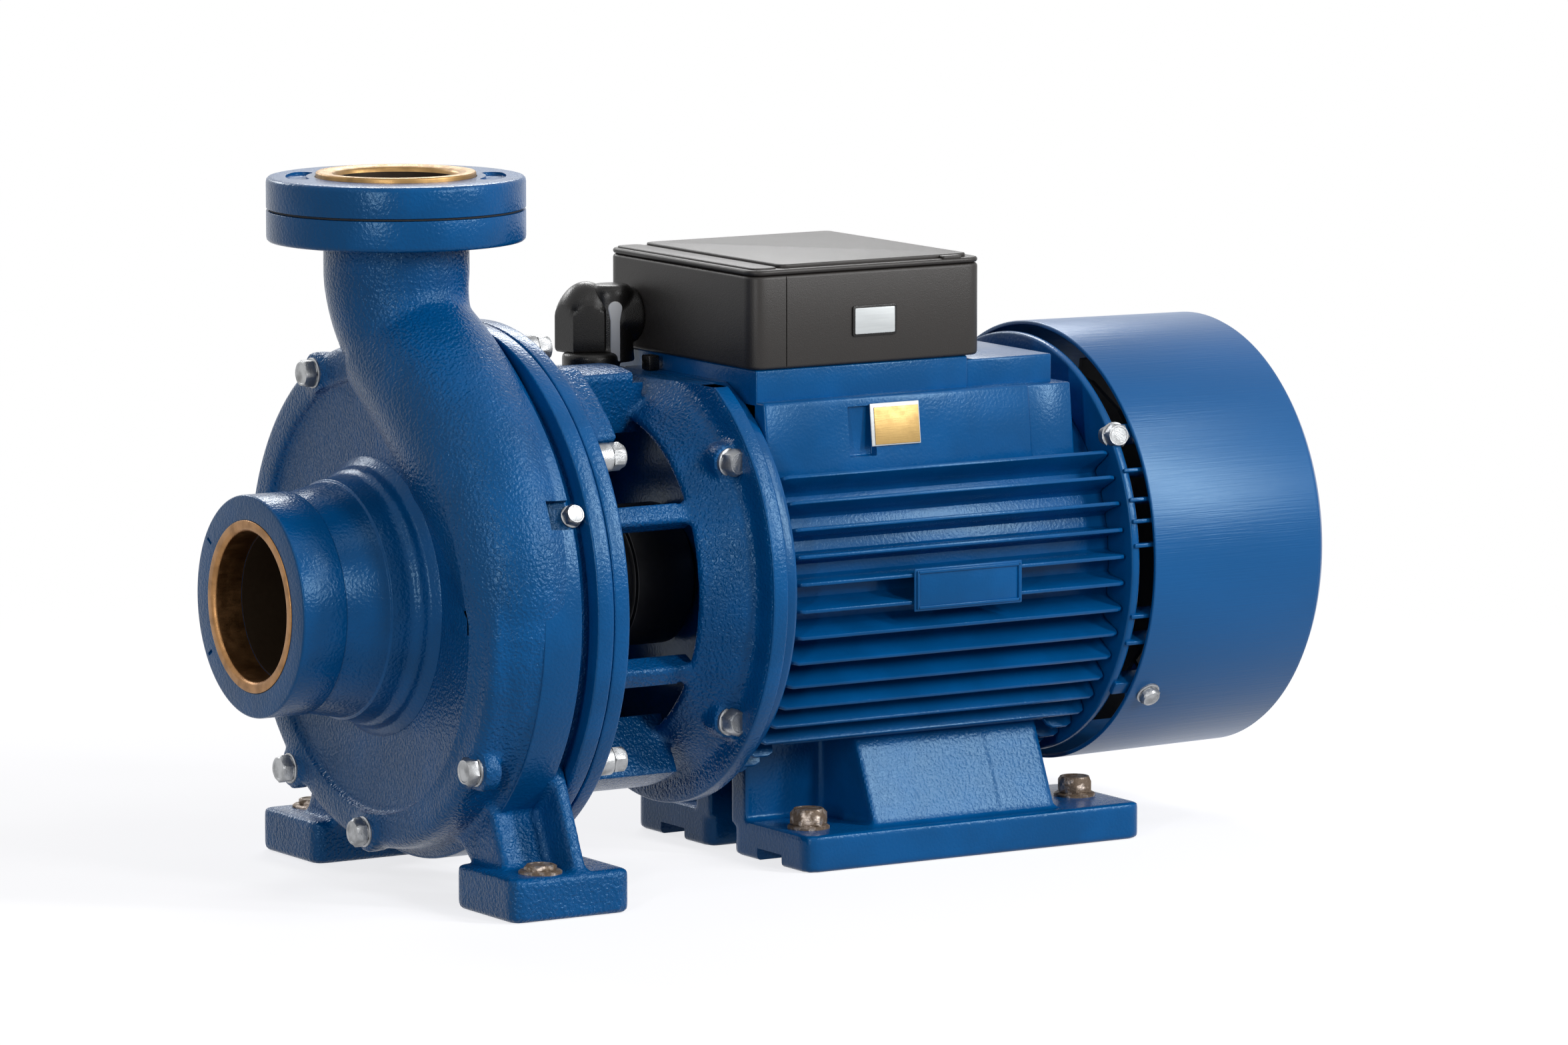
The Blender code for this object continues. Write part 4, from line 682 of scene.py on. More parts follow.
class PumpColours(bpy.types.PropertyGroup):
    """Colours that a user would change."""

    paint: FloatVectorProperty(
        name="Casting paint", description="Enamel on the cast pieces", subtype="COLOR", size=4,
        default=(0.0006, 0.077, 0.250, 1.0), min=0.0, max=1.0,
    )
    cowl: FloatVectorProperty(
        name="Cowl paint", description="Enamel on the pressed fan cowl", subtype="COLOR", size=4,
        default=(0.0006, 0.083, 0.270, 1.0), min=0.0, max=1.0,
    )
    plastic: FloatVectorProperty(
        name="Terminal box", description="Moulded plastic of the terminal box", subtype="COLOR", size=4,
        default=(0.022, 0.0195, 0.018, 1.0), min=0.0, max=1.0,
    )
    brass: FloatVectorProperty(
        name="Discharge ring", description="Brass ring on the discharge flange", subtype="COLOR", size=4,
        default=(0.33, 0.20, 0.080, 1.0), min=0.0, max=1.0,
    )
    bronze: FloatVectorProperty(
        name="Suction ring", description="Bronze ring in the suction nozzle", subtype="COLOR", size=4,
        default=(0.34, 0.18, 0.075, 1.0), min=0.0, max=1.0,
    )
    plate: FloatVectorProperty(
        name="Nameplate", description="Brass sheet of the nameplate", subtype="COLOR", size=4,
        default=(0.42, 0.28, 0.11, 1.0), min=0.0, max=1.0,
    )
    zinc: FloatVectorProperty(
        name="Bolts", description="Zinc-plated bolts", subtype="COLOR", size=4,
        default=(0.42, 0.43, 0.44, 1.0), min=0.0, max=1.0,
    )
    anchor: FloatVectorProperty(
        name="Anchor bolts", description="Weathered bolts of the feet", subtype="COLOR", size=4,
        default=(0.30, 0.21, 0.14, 1.0), min=0.0, max=1.0,
    )
    floor: FloatVectorProperty(
        name="Floor", description="Studio floor", subtype="COLOR", size=4,
        default=(0.34, 0.34, 0.35, 1.0), min=0.0, max=1.0,
    )


class PumpSizes(bpy.types.PropertyGroup):
    """Sizes that a user would change."""

    cast_voxel: FloatProperty(
        name="Casting detail", description="Cell in which castings are melted together",
        default=0.0022, min=0.001, max=0.01, unit="LENGTH",
    )
    case_bolt: FloatProperty(
        name="Case bolt", description="Width across flats of the casing's bolts",
        default=0.0165, min=0.006, max=0.04, unit="LENGTH",
    )
    anchor_bolt: FloatProperty(
        name="Anchor bolt", description="Width across flats of the feet's bolts",
        default=0.021, min=0.006, max=0.05, unit="LENGTH",
    )
    cowl_screw: FloatProperty(
        name="Cowl screw", description="Width across flats of the cowl's screws",
        default=0.0125, min=0.004, max=0.03, unit="LENGTH",
    )


def volute_ring(angle, reach, radius, wall):
    """One section of the volute, in the plane through the shaft's line at an angle."""
    ring = []
    count = 48
    for k in range(count):
        turn = math.tau * k / count
        y, z = polar(angle, reach + (radius - wall) * math.cos(turn))
        ring.append((VOLUTE_X + (radius - wall) * math.sin(turn), y, z))
    return ring


def volute(name, wall=0.0):
    """The spiral swelling from the tongue round to the near side."""
    rings = []
    count = 60
    for i in range(count + 1):
        share = i / count
        angle = VOLUTE_START + (360.0 - VOLUTE_START) * share
        radius = VOLUTE_RADII[0] + (VOLUTE_RADII[1] - VOLUTE_RADII[0]) * share
        rings.append(volute_ring(angle, VOLUTE_REACH - 0.006 * math.sin(math.pi * share), radius, wall))
    return loft(name, rings)


def swept(name, spine, wall=0.0, count=48):
    """A round duct through (x, y, z, radius) points that lie nearly in one upright plane."""
    rings = []
    for i, (x, y, z, radius) in enumerate(spine):
        before, after = spine[max(i - 1, 0)], spine[min(i + 1, len(spine) - 1)]
        along = Vector((after[0] - before[0], after[1] - before[1], after[2] - before[2])).normalized()
        side = Vector((1.0, 0.0, 0.0)) - along * along.x
        side.normalize()
        out = along.cross(side)
        ring = []
        for k in range(count):
            turn = math.tau * k / count
            offset = side * math.cos(turn) + out * math.sin(turn)
            ring.append(tuple(Vector((x, y, z)) + offset * (radius - wall)))
        rings.append(ring)
    return loft(name, rings)


def throat_spine():
    """From the near side in over the casing, up to the neck's foot."""
    foot = CASING_TOP_Z - PORT_FLANGE - NECK_LENGTH - THROAT_SINK
    height = foot - SHAFT_Z
    spine = [(VOLUTE_X, -VOLUTE_REACH, SHAFT_Z - 0.010, VOLUTE_RADII[1])]
    for i in range(25):
        turn = math.radians(82.0 * i / 24)
        swell = THROAT_SWELL * max(0.0, math.sin(2.0 * turn)) ** 0.5
        spine.append((
            VOLUTE_X * math.cos(turn), -VOLUTE_REACH * math.cos(turn) ** 2,
            SHAFT_Z + height * math.sin(turn), VOLUTE_RADII[1] + swell,
        ))
    return spine


def neck_spine():
    """From under the flange down into the throat, leaning over to the near side."""
    top = CASING_TOP_Z - PORT_FLANGE / 2.0
    spine = []
    for i in range(21):
        share = i / 20.0
        lean = max(0.0, share - 0.30) / 0.70
        spine.append((
            0.004 * lean ** 2, -0.046 * lean ** 2.0, top - 0.105 * share,
            NECK_RADIUS - 0.0085 * lean ** 1.2,
        ))
    return spine


def pump_foot(name):
    """Pad, leg and web of the near foot."""
    pad_outline = rounded(
        [(PAD_X[0], -PAD_Y[1]), (PAD_X[1], -PAD_Y[1]), (PAD_X[1], -PAD_Y[0]), (PAD_X[0], -PAD_Y[0])], 0.008,
    )
    sunk = PAD_HEIGHT - 0.006
    root = CASING_RADIUS - 0.016
    leg = [
        polar(-69.0, root), (-PAD_Y[0] - 0.0015, sunk), (-0.133, sunk), (-0.127, PAD_HEIGHT + 0.006),
        polar(-46.0, CASING_RADIUS - 0.007), polar(-46.0, root),
    ]
    web = [
        polar(-69.0, root), (-PAD_Y[0] - 0.0015, sunk), (-0.160, sunk), (-0.160, PAD_HEIGHT),
        (-0.131, SHAFT_Z - 0.0965), polar(-46.0, root),
    ]
    return [
        prism(name + "_pad", pad_outline, 0.0, PAD_HEIGHT, "Z", 0.002),
        prism(name + "_leg", leg, 0.002, FLANGE_START_X + 0.0015, "X"),
        prism(name + "_web", web, BAND_X[1], BAND_X[1] + 0.010, "X", 0.0012),
    ]


CASE_BOLTS = ((115.0, 0.1515, 0.0), (-128.5, 0.1585, 0.0), (-90.3, 0.1515, 0.0), (-36.0, 0.1610, 0.0070))


def pockets():
    """What is cut out of the casing's rim for the spanner on each pocket bolt."""
    return [
        radial_block("pocket", (0.018, FLANGE_START_X), angle, (BAND_RADIUS - 0.0055, 0.2), 0.019)
        for angle in (23.0, 157.0)
    ]


class PUMP_OT_volute_casing(bpy.types.Operator):
    """Casts the volute casing with its neck and feet, and turns its nozzle and flanges"""

    bl_idname = "pump.volute_casing"
    bl_label = "Volute casing"

    def execute(self, context):
        sizes = context.scene.pump_sizes
        shell = turned("shell", rounded([
            (RECESS_X, 0.0, 0.0), (RECESS_X, RECESS_RADIUS), (CASING_FRONT_X, RECESS_RADIUS + 0.002),
            (CASING_FRONT_X, CASING_RADIUS, 0.009), (BAND_X[0], CASING_RADIUS + 0.002),
            (BAND_X[0] + 0.003, BAND_RADIUS), (BAND_X[1], BAND_RADIUS, 0.0015), (BAND_X[1], GROOVE_RADIUS),
            (FLANGE_START_X + 0.003, GROOVE_RADIUS, 0.0), (FLANGE_START_X + 0.003, 0.0, 0.0),
        ], 0.002, closed=False))
        pieces = [shell, volute("volute"), swept("throat", throat_spine()), swept("neck", neck_spine())]
        near = pump_foot("near")
        pieces += near + [mirrored(piece, piece.name + "_far") for piece in near]
        for angle, radius, back in CASE_BOLTS:
            y, z = polar(angle, radius)
            pieces.append(cylinder("boss", (CASING_FRONT_X - 0.0022 + back, y, z), (1, 0, 0), 0.0135, 0.012))
        body = cast("casing_body", pieces, sizes.cast_voxel, 6, 0.45)
        hollow = turned("hollow", [
            (FACE_X, 0.0), (FACE_X, SUCTION_BORE + 0.002), (CHAMBER_FRONT_X, SUCTION_BORE + 0.002),
            (CHAMBER_FRONT_X, CHAMBER_RADIUS), (FLANGE_END_X, CHAMBER_RADIUS), (FLANGE_END_X, 0.0),
        ], 96)
        bore = cylinder("bore", (0.0, 0.0, CASING_TOP_Z - 0.085), (0, 0, 1), PORT_BORE, 0.12, 0.0, 96)
        inner = swept("inner", throat_spine(), CAST_WALL)
        recess = turned("recess", rounded([
            (-0.060, 0.0, 0.0), (-0.060, RECESS_RADIUS + 0.004, 0.0), (CASING_FRONT_X, RECESS_RADIUS + 0.0025, 0.0),
            (RECESS_X - 0.0002, RECESS_RADIUS, 0.0015), (RECESS_X - 0.0002, 0.0, 0.0),
        ], 0.001, 4, False))
        keep = [(x, y, z, radius * min(1.0, 0.68 + 0.026 * i)) for i, (x, y, z, radius) in enumerate(throat_spine())]
        recess = cut(recess, swept("keep", keep, -0.0020), swept("keep", neck_spine(), -0.0020))
        body = cut(body, hollow, bore, inner, recess)
        band = ring_of("casing_band", (BAND_X[0] + 0.0035, BAND_X[1]), (BAND_RADIUS - 0.010, BAND_RADIUS + 0.0003), 0.0009)
        body = cut(body, *pockets())
        dress(body, "paint", stands_for=("volute_casing",))
        dress(cut(band, *pockets()), "smooth_paint")

        collar_end, waist = FACE_X + NOZZLE_COLLAR, NOZZLE_RADIUS - NOZZLE_STEP
        along = (STEP_LINE_X - collar_end) / (-0.0335 - collar_end)
        step_radius = waist + (NOZZLE_ROOT_RADIUS - 0.0058 - waist) * along
        nozzle = turned("nozzle", rounded([
            (FACE_X, RING_SEAT_RADIUS, 0.0), (FACE_X, NOZZLE_RADIUS, 0.0016),
            (collar_end, NOZZLE_RADIUS, 0.0005), (collar_end + 0.0006, waist - 0.0004, 0.0005),
            (STEP_LINE_X, step_radius - 0.0004, 0.0004), (STEP_LINE_X + 0.0007, step_radius + 0.0010, 0.0005),
            (-0.0335, NOZZLE_ROOT_RADIUS - 0.0058, 0.004), (-0.0300, NOZZLE_ROOT_RADIUS - 0.0020, 0.002),
            (-0.0245, NOZZLE_ROOT_RADIUS - 0.0008, 0.002), (-0.0225, NOZZLE_ROOT_RADIUS + 0.0015, 0.002),
            (RECESS_X, NOZZLE_ROOT_RADIUS + 0.0055, 0.001), (RECESS_X + 0.004, NOZZLE_ROOT_RADIUS, 0.0),
            (RECESS_X + 0.004, SUCTION_BORE, 0.0),
            (FACE_X + RING_SEAT_DEPTH, SUCTION_BORE, 0.0), (FACE_X + RING_SEAT_DEPTH, RING_SEAT_RADIUS, 0.0),
        ], 0.001))
        marks = [
            radial_block("mark", (FACE_X - 0.002, FACE_X + 0.0016), angle, (0.0615, 0.0672), 0.0022)
            for angle in (146.0, 214.0)
        ]
        dress(cut(nozzle, *marks, solver="EXACT"), "smooth_paint", stands_for=("suction_nozzle",))
        flange = ring_of("body_flange", (FLANGE_START_X, FLANGE_END_X), (SPIGOT_RADIUS, FLANGE_RADIUS), 0.0016)
        dress(flange, "smooth_paint")
        lower = turned("lower_flange", rounded([
            (CASING_TOP_Z - PORT_FLANGE - 0.003, NECK_RADIUS - 0.0005, 0.0),
            (CASING_TOP_Z - PORT_FLANGE, NECK_RADIUS + 0.0025, 0.002),
            (CASING_TOP_Z - PORT_FLANGE, PORT_RADIUS, 0.0032), (CASING_TOP_Z, PORT_RADIUS, 0.0005),
            (CASING_TOP_Z, PORT_BORE, 0.0), (CASING_TOP_Z - PORT_FLANGE - 0.003, PORT_BORE, 0.0),
        ], 0.001), upright=True)
        dress(lower, "smooth_paint", stands_for=("discharge_neck",))
        # A thin near-black sheet inside the suction bore: painted shade
        painted_shade_sheet = ring_of("suction_bore_painted_shade", (FACE_X + RING_SEAT_DEPTH, CHAMBER_FRONT_X), (SUCTION_BORE - 0.0008, SUCTION_BORE), 0.0)
        dress(painted_shade_sheet, "bore")
        return {"FINISHED"}


def kidney(middle, radius=0.0635, width=0.013, spread=18.0):
    """The outline of a recess bent round the flange's axis, with round ends."""
    start, end, half = middle - spread, middle + spread, width / 2.0
    first = arc((0.0, 0.0), radius, start, end, 1)
    outline = arc((0.0, 0.0), radius + half, start, end, 12)
    outline += arc(first[1], half, end, end + 180.0, 10)[1:-1]
    outline += arc((0.0, 0.0), radius - half, end, start, 12)
    outline += arc(first[0], half, start + 180.0, start + 360.0, 10)[1:-1]
    return outline


class PUMP_OT_port_rings(bpy.types.Operator):
    """Turns the discharge flange, its gasket, and the brass and bronze rings of both ports"""

    bl_idname = "pump.port_rings"
    bl_label = "Port rings"

    def execute(self, context):
        ring_low, ring_top = span("discharge_ring", 2)
        ring_radius = span("discharge_ring", 1)[1]
        flange = turned("port_flange", rounded([
            (PORT_LOW_Z, PORT_RADIUS, 0.0005), (PORT_TOP_Z, PORT_RADIUS, 0.0034),
            (PORT_TOP_Z, ring_radius + 0.0003, 0.0006), (ring_low - 0.0003, ring_radius + 0.0003, 0.0),
            (ring_low - 0.0003, PORT_BORE, 0.0), (PORT_LOW_Z, PORT_BORE, 0.0),
        ], 0.001), upright=True)
        recesses = [
            prism("recess", kidney(middle), PORT_TOP_Z - 0.0022, PORT_TOP_Z + 0.01, "Z", 0.0008)
            for middle in (148.0, 328.0)
        ]
        dress(cut(flange, *recesses, solver="EXACT"), "smooth_paint", stands_for=("discharge_flange",))
        gasket_low, gasket_top = span("flange_gasket", 2)
        gasket_radius = span("flange_gasket", 1)[1]
        gasket = turned("gasket", [
            (gasket_low, PORT_BORE), (gasket_low, gasket_radius), (gasket_top, gasket_radius), (gasket_top, PORT_BORE),
        ], upright=True)
        dress(gasket, "rubber", stands_for=("flange_gasket",))
        top_ring = turned("top_ring", rounded([
            (ring_low, ring_radius, 0.0), (ring_top, ring_radius, 0.0014),
            (ring_top, ring_radius - 0.0062, 0.0010), (ring_top - 0.0014, PORT_BORE + 0.0012, 0.0016),
            (ring_top - 0.005, PORT_BORE, 0.001), (ring_low, PORT_BORE, 0.0),
        ], 0.001), upright=True)
        dress(top_ring, "brass", stands_for=("discharge_ring",))
        # A thin near-black sheet down the discharge bore: painted shade
        painted_shade_sheet = turned("discharge_bore_painted_shade", [
            (ring_top - 0.0040, PORT_BORE - 0.0007), (ring_top - 0.0040, PORT_BORE + 0.0002),
            (PORT_LOW_Z - 0.03, PORT_BORE + 0.0002), (PORT_LOW_Z - 0.03, PORT_BORE - 0.0007),
        ], 96, upright=True)
        dress(painted_shade_sheet, "bore")
        ring_front, ring_rear = span("suction_ring", 0)
        ring_radius = span("suction_ring", 1)[1]
        suction = turned("suction_bush", rounded([
            (ring_front, ring_radius, 0.0008), (ring_rear, ring_radius, 0.0), (ring_rear, SUCTION_BORE, 0.0),
            (ring_front + 0.002, SUCTION_BORE, 0.001), (ring_front, SUCTION_BORE + 0.0018, 0.0008),
        ], 0.001))
        dress(suction, "bronze", stands_for=("suction_ring",))
        return {"FINISHED"}


def conduit_top():
    """What is cut off the top of the bell, level with the conduit boss."""
    top = SHAFT_Z + 0.1285
    return block("conduit_top", (BELL_X, BRACKET_X[1] + 0.02), (-0.2, 0.2), (top, top + 0.1))


class PUMP_OT_lantern_bracket(bpy.types.Operator):
    """Casts the open bracket that carries the motor behind the casing"""

    bl_idname = "pump.lantern_bracket"
    bl_label = "Lantern bracket"

    def execute(self, context):
        sizes = context.scene.pump_sizes
        front, rear = BRACKET_X
        ring_end = front + 0.012
        bell = turned("bell", rounded([
            (BELL_X, BELL_LIP - 0.001, 0.002), (BELL_X + 0.0065, BELL_LIP + 0.0035, 0.003),
            (BELL_FLANGE_X - 0.004, BELL_RADIUS, 0.003), (BELL_FLANGE_X - 0.002, BELL_RADIUS - 0.002, 0.001),
            (BELL_FLANGE_X, BELL_RADIUS - 0.002, 0.001), (BELL_FLANGE_X, BELL_FLANGE_RADIUS, 0.002),
            (rear, BELL_FLANGE_RADIUS, 0.001), (rear, BELL_RADIUS - 0.016, 0.0),
            (BELL_FLANGE_X, BELL_RADIUS - 0.016, 0.002), (BELL_X + 0.0075, 0.107, 0.002), (BELL_X, 0.1055, 0.002),
        ], 0.002))
        pieces = [
            ring_of("front_ring", (front, ring_end), (FLANGE_RADIUS - 0.060, FLANGE_RADIUS - 0.0006), 0.002),
            ring_of("collar", (front, front + 0.006), (RIB_INNER, FLANGE_RADIUS - 0.055)),
        ]
        for angle in (RIB_ANGLE, -RIB_ANGLE, 180.0 - RIB_ANGLE, 180.0 + RIB_ANGLE):
            pieces.append(radial_block(
                "rib", (front + 0.0015, BELL_X + 0.006), angle, (RIB_INNER, BELL_LIP - 0.0015), 0.013, 0.001,
            ))
        for angle, half in ((90.0, 12.0), (-90.0, 30.0)):
            pieces.append(sector(
                "block", (ring_end - 0.003, BELL_X + 0.009), (angle - half, angle + half), (RIB_INNER + 0.003, 0.138),
            ))
        for angles in ((40.0, 62.0), (118.0, 140.0)):
            pieces.append(sector(
                "wing", (front + 0.0015, 0.087), angles, (FLANGE_RADIUS - 0.042, FLANGE_RADIUS - 0.003), 16, 0.001,
            ))
        pieces.append(block(
            "conduit_boss", (BELL_X + 0.002, rear - 0.0015), (0.036, 0.084), (SHAFT_Z + 0.095, SHAFT_Z + 0.14),
        ))
        for angle in (38.0, -38.0):
            y, z = polar(angle, 0.136)
            pieces.append(cylinder("lug", (0.184, y + 0.016, z), (0, -1, 0), 0.0115, 0.013))
        pieces.append(bell)
        body = cast("bracket_body", pieces, sizes.cast_voxel, 4, 0.5)
        body = cut(body, conduit_top())
        dress(body, "paint", stands_for=("lantern_bracket",))
        face = ring_of("bracket_rim", (front, ring_end - 0.001), (FLANGE_RADIUS - 0.012, FLANGE_RADIUS), 0.0014)
        dress(face, "smooth_paint")
        rim = ring_of(
            "bell_rim", (BELL_FLANGE_X + 0.0008, rear), (BELL_FLANGE_RADIUS - 0.008, BELL_FLANGE_RADIUS + 0.0004), 0.0015,
        )
        dress(cut(rim, conduit_top(), solver="EXACT"), "smooth_paint")
        return {"FINISHED"}


class PUMP_OT_motor_shields(bpy.types.Operator):
    """Turns the motor's end shields, the rear one with the lugs that carry the cowl"""

    bl_idname = "pump.motor_shields"
    bl_label = "Motor shields"

    def execute(self, context):
        front, rear = FRONT_SHIELD_X
        bearing = 0.0363
        plate = turned("front_shield", rounded([
            (front, SHIELD_RADIUS, 0.003), (rear, SHIELD_RADIUS, 0.003), (rear, bearing, 0.0), (front, bearing, 0.0),
        ], 0.001))
        dress(cut(plate, conduit_top(), solver="EXACT"), "frame_paint",
              stands_for=("motor_front_shield",))
        front = REAR_SHIELD_X[0]
        plate_end = front + 0.0065
        boss = plate_end + 0.015
        shield = turned("rear_shield", rounded([
            (front, SHIELD_RADIUS, 0.002), (plate_end, SHIELD_RADIUS, 0.002), (plate_end, bearing + 0.018, 0.003),
            (boss, bearing + 0.014, 0.002), (boss, bearing, 0.0), (front, bearing, 0.0),
        ], 0.001))
        lugs = [
            radial_block("lug", (plate_end - 0.003, REAR_SHIELD_X[1]), angle, (0.1305, 0.1425), 0.010, 0.001)
            for angle in (37.0, -37.0, 143.0, 217.0)
        ]
        for angle in (25.6, 17.5, 11.7, 5.2, -14.2, -22.0):
            for mirrored_angle in (angle, 180.0 - angle):
                lugs.append(radial_block(
                    "rib", (front + 0.0015, COWL_X[0] + 0.012), mirrored_angle, (0.1280, COWL_RADIUS - 0.0045), 0.0028, 0.0008,
                ))
        dress(gathered("rear_shield", [shield] + lugs), "frame_paint",
              stands_for=("motor_rear_shield",))
        return {"FINISHED"}


def fin(angle, x_span):
    """One cooling fin: a tapered blade with a wide foot and a round tip, sloped at both ends."""
    half = [
        (BARREL_RADIUS - 0.0015, 0.0052), (BARREL_RADIUS + 0.0012, 0.0031), (BARREL_RADIUS + 0.005, 0.0021),
        (FIN_TIP_RADIUS - 0.0012, 0.0014), (FIN_TIP_RADIUS - 0.0003, 0.0011), (FIN_TIP_RADIUS, 0.0005),
    ]
    turn = math.radians(angle)
    out, side = (-math.cos(turn), math.sin(turn)), (math.sin(turn), math.cos(turn))
    section = [(radius, -width) for radius, width in half] + [(radius, width) for radius, width in reversed(half)]
    rings = []
    for station, drop in ((x_span[0], 0.010), (x_span[0] + 0.003, 0.0025), (x_span[0] + 0.007, 0.0),
                          (x_span[1] - 0.005, 0.0), (x_span[1] - 0.001, 0.0018), (x_span[1], 0.005)):
        ring = []
        for radius, width in section:
            share = max(0.0, (radius - BARREL_RADIUS) / (FIN_TIP_RADIUS - BARREL_RADIUS))
            reach = radius - drop * share
            ring.append((station, out[0] * reach + side[0] * width, SHAFT_Z + out[1] * reach + side[1] * width))
        rings.append(ring)
    made = loft("fin", rings)
    # Faces along the tip take the second material, the paler paint that is a painted highlight
    for face in made.data.polygons:
        spot = face.center
        if math.hypot(spot.y, spot.z - SHAFT_Z) > FIN_TIP_RADIUS - 0.0009:
            face.material_index = 1
    return made


def panel_outline(inset=0.0):
    """The sloping side panels and what lies between them, seen along the shaft."""
    low, high = SHAFT_Z + PANEL_RISE[0], SHAFT_Z + PANEL_RISE[1]
    lip = PANEL_Y[0] - PANEL_Y[1]
    root = SHAFT_Z + BARREL_RADIUS / 3.0
    half = [
        (PANEL_Y[1] - inset, high - inset / 2.0), (PANEL_Y[0] - inset, low - inset / 2.0),
        (PANEL_Y[0] - 2.0 * lip, low - lip / 2.0), (BARREL_RADIUS / 2.0, root),
    ]
    return half + [(-y, z) for y, z in reversed(half)]


class PUMP_OT_motor_frame(bpy.types.Operator):
    """Builds the finned motor frame with its side panels and the terminal box's pedestal"""

    bl_idname = "pump.motor_frame"
    bl_label = "Motor frame"

    def execute(self, context):
        front, rear = FRAME_X
        pieces = [ring_of("barrel", (front, rear), (0.026, BARREL_RADIUS), 0.001)]
        for i in range(48):
            angle = FIN_FIRST + FIN_PITCH * i
            height = FIN_TIP_RADIUS * math.sin(math.radians(angle))
            low = SHAFT_Z + height < FOOT_TOP_Z + 0.003
            if height < 0.076 and not low:
                pieces.append(fin(angle, (front + 0.001, rear - 0.001)))
        for i in range(48):
            angle = FIN_FIRST + FIN_PITCH * i
            height = FIN_TIP_RADIUS * math.sin(math.radians(angle))
            if SHAFT_Z + height < FOOT_TOP_Z + 0.003:
                pieces.append(fin(angle, (0.447, rear - 0.001)))
                pieces.append(fin(angle, (front + 0.001, FOOT_X[0] - 0.004)))
        pedestal_top = BOX_Z[0] - 0.0003
        sunk = SHAFT_Z + PANEL_RISE[1] - 0.012
        pieces += [
            prism("panel_end", panel_outline(0.0015), PANEL_END_X - 0.004, PANEL_REAR_X, "X", 0.0015),
            block("pedestal", (front, PEDESTAL_X), (-PEDESTAL_Y, PEDESTAL_Y), (sunk, pedestal_top), 0.0015),
            block("step", (PEDESTAL_X - 0.006, STEP_X), (-STEP_Y, STEP_Y), (sunk, pedestal_top - STEP_DROP), 0.0015),
            block("base", (FOOT_X[0], 0.443), (-0.078, 0.078), (FOOT_TOP_Z + 0.0003, SHAFT_Z - 0.073), 0.001),
        ]
        panel = prism("panel", panel_outline(), front, PANEL_END_X, "X", 0.0022)
        plate_x = span("nameplate", 0)
        plate_z = span("nameplate", 2)
        niche = block(
            "niche", (plate_x[0] - 0.0165, plate_x[0] + 0.004), (-0.2, -PANEL_Y[1] + 0.0018),
            (plate_z[0] - 0.006, plate_z[1] - 0.001), 0.001,
        )
        pieces.append(cut(panel, niche, solver="EXACT"))
        frame_piece = gathered("finned_frame", pieces)
        dress(frame_piece, "frame_paint", stands_for=("motor_frame",))
        # Second material: the paler paint on the fin tips, a painted highlight
        frame_piece.data.materials.append(FINISHES["fin_tip_painted_highlight"])
        return {"FINISHED"}


class PUMP_OT_motor_feet(bpy.types.Operator):
    """Casts the two foot rails with their walls and wedges"""

    bl_idname = "pump.motor_feet"
    bl_label = "Motor feet"

    def execute(self, context):
        voxel = context.scene.pump_sizes.cast_voxel
        outer, inner = FOOT_Y
        plate = 0.024
        outline = rounded(
            [(FOOT_X[0], outer), (FOOT_X[1], outer), (FOOT_X[1], inner), (FOOT_X[0], inner)], 0.009,
        )
        sunk = plate - 0.004
        wedge = [(-0.0275, sunk), (-0.095, sunk), (-0.095, plate), (-0.070, FOOT_TOP_Z), (-0.0275, FOOT_TOP_Z)]
        crease = [(-0.060, plate), (-0.0955, plate), (-0.0705, FOOT_TOP_Z), (-0.060, FOOT_TOP_Z)]
        pieces = [
            prism("rail", outline, 0.0, plate, "Z", 0.003),
            block("wall", (FOOT_X[0], 0.443), (-0.0315, inner), (sunk, FOOT_TOP_Z)),
            prism("wedge", wedge, 0.300, 0.4415, "X", 0.001),
            prism("wedge_rear", crease, 0.3995, 0.4415, "X"),
        ]
        near = cast("foot_near", pieces, voxel * 0.8, 3, 0.5)
        middle = (outer + inner) / 2.0
        channel = block("channel", (FOOT_X[0] - 0.01, FOOT_X[1] + 0.01), (middle - 0.015, middle + 0.015), (-0.01, 0.008))
        near = cut(near, channel)
        far = mirrored(near, "foot_far")
        dress(near, "foot_paint", stands_for=("motor_foot_near",))
        dress(far, "foot_paint", stands_for=("motor_foot_far",))
        return {"FINISHED"}


class PUMP_OT_fan_cowl(bpy.types.Operator):
    """Presses the fan cowl, with a rolled rear edge and a slotted end"""

    bl_idname = "pump.fan_cowl"
    bl_label = "Fan cowl"

    def execute(self, context):
        front, rear = COWL_X
        wall = 0.003
        rear_radius = COWL_RADIUS - 0.002
        bend = 0.010
        side = turned("cowl_side", rounded([
            (front, COWL_RADIUS, 0.0012), (rear - bend + 0.0010, rear_radius + 0.0001, 0.0003),
            (rear - bend + 0.0012, rear_radius - 0.0007, 0.0003), (rear - bend + 0.0030, rear_radius - 0.0008, 0.0010),
            (rear, rear_radius - bend + 0.0015, 0.005), (rear, 0.1195, 0.0),
            (rear - wall, 0.1195, 0.0), (rear - wall, rear_radius - bend, 0.003),
            (rear - bend, rear_radius - wall, 0.001), (front, COWL_RADIUS - wall, 0.0012),
        ], 0.001, 5), 180)
        bars = []
        pitch = (0.118 - 0.030) / 3.0
        for i in range(4):
            radius = 0.030 + pitch * i
            inner, outer = (0.0, radius) if i == 0 else (radius - 0.008, radius + (0.0025 if i == 3 else 0.0))
            loop = [(rear, outer), (rear - wall, outer), (rear - wall, inner, 0.0), (rear, inner, 0.0)]
            bars.append(turned("bar", rounded(loop, 0.0008), 120))
        for k in range(4):
            bars.append(radial_block("spoke", (rear - wall + 0.0002, rear - 0.0002), 45.0 + 90.0 * k,
                                     (0.020, 0.121), 0.009, 0.0006))
        cowl = gathered("cowl", [side] + bars)
        dress(cowl, "cowl_paint", stands_for=("fan_cowl",))
        return {"FINISHED"}


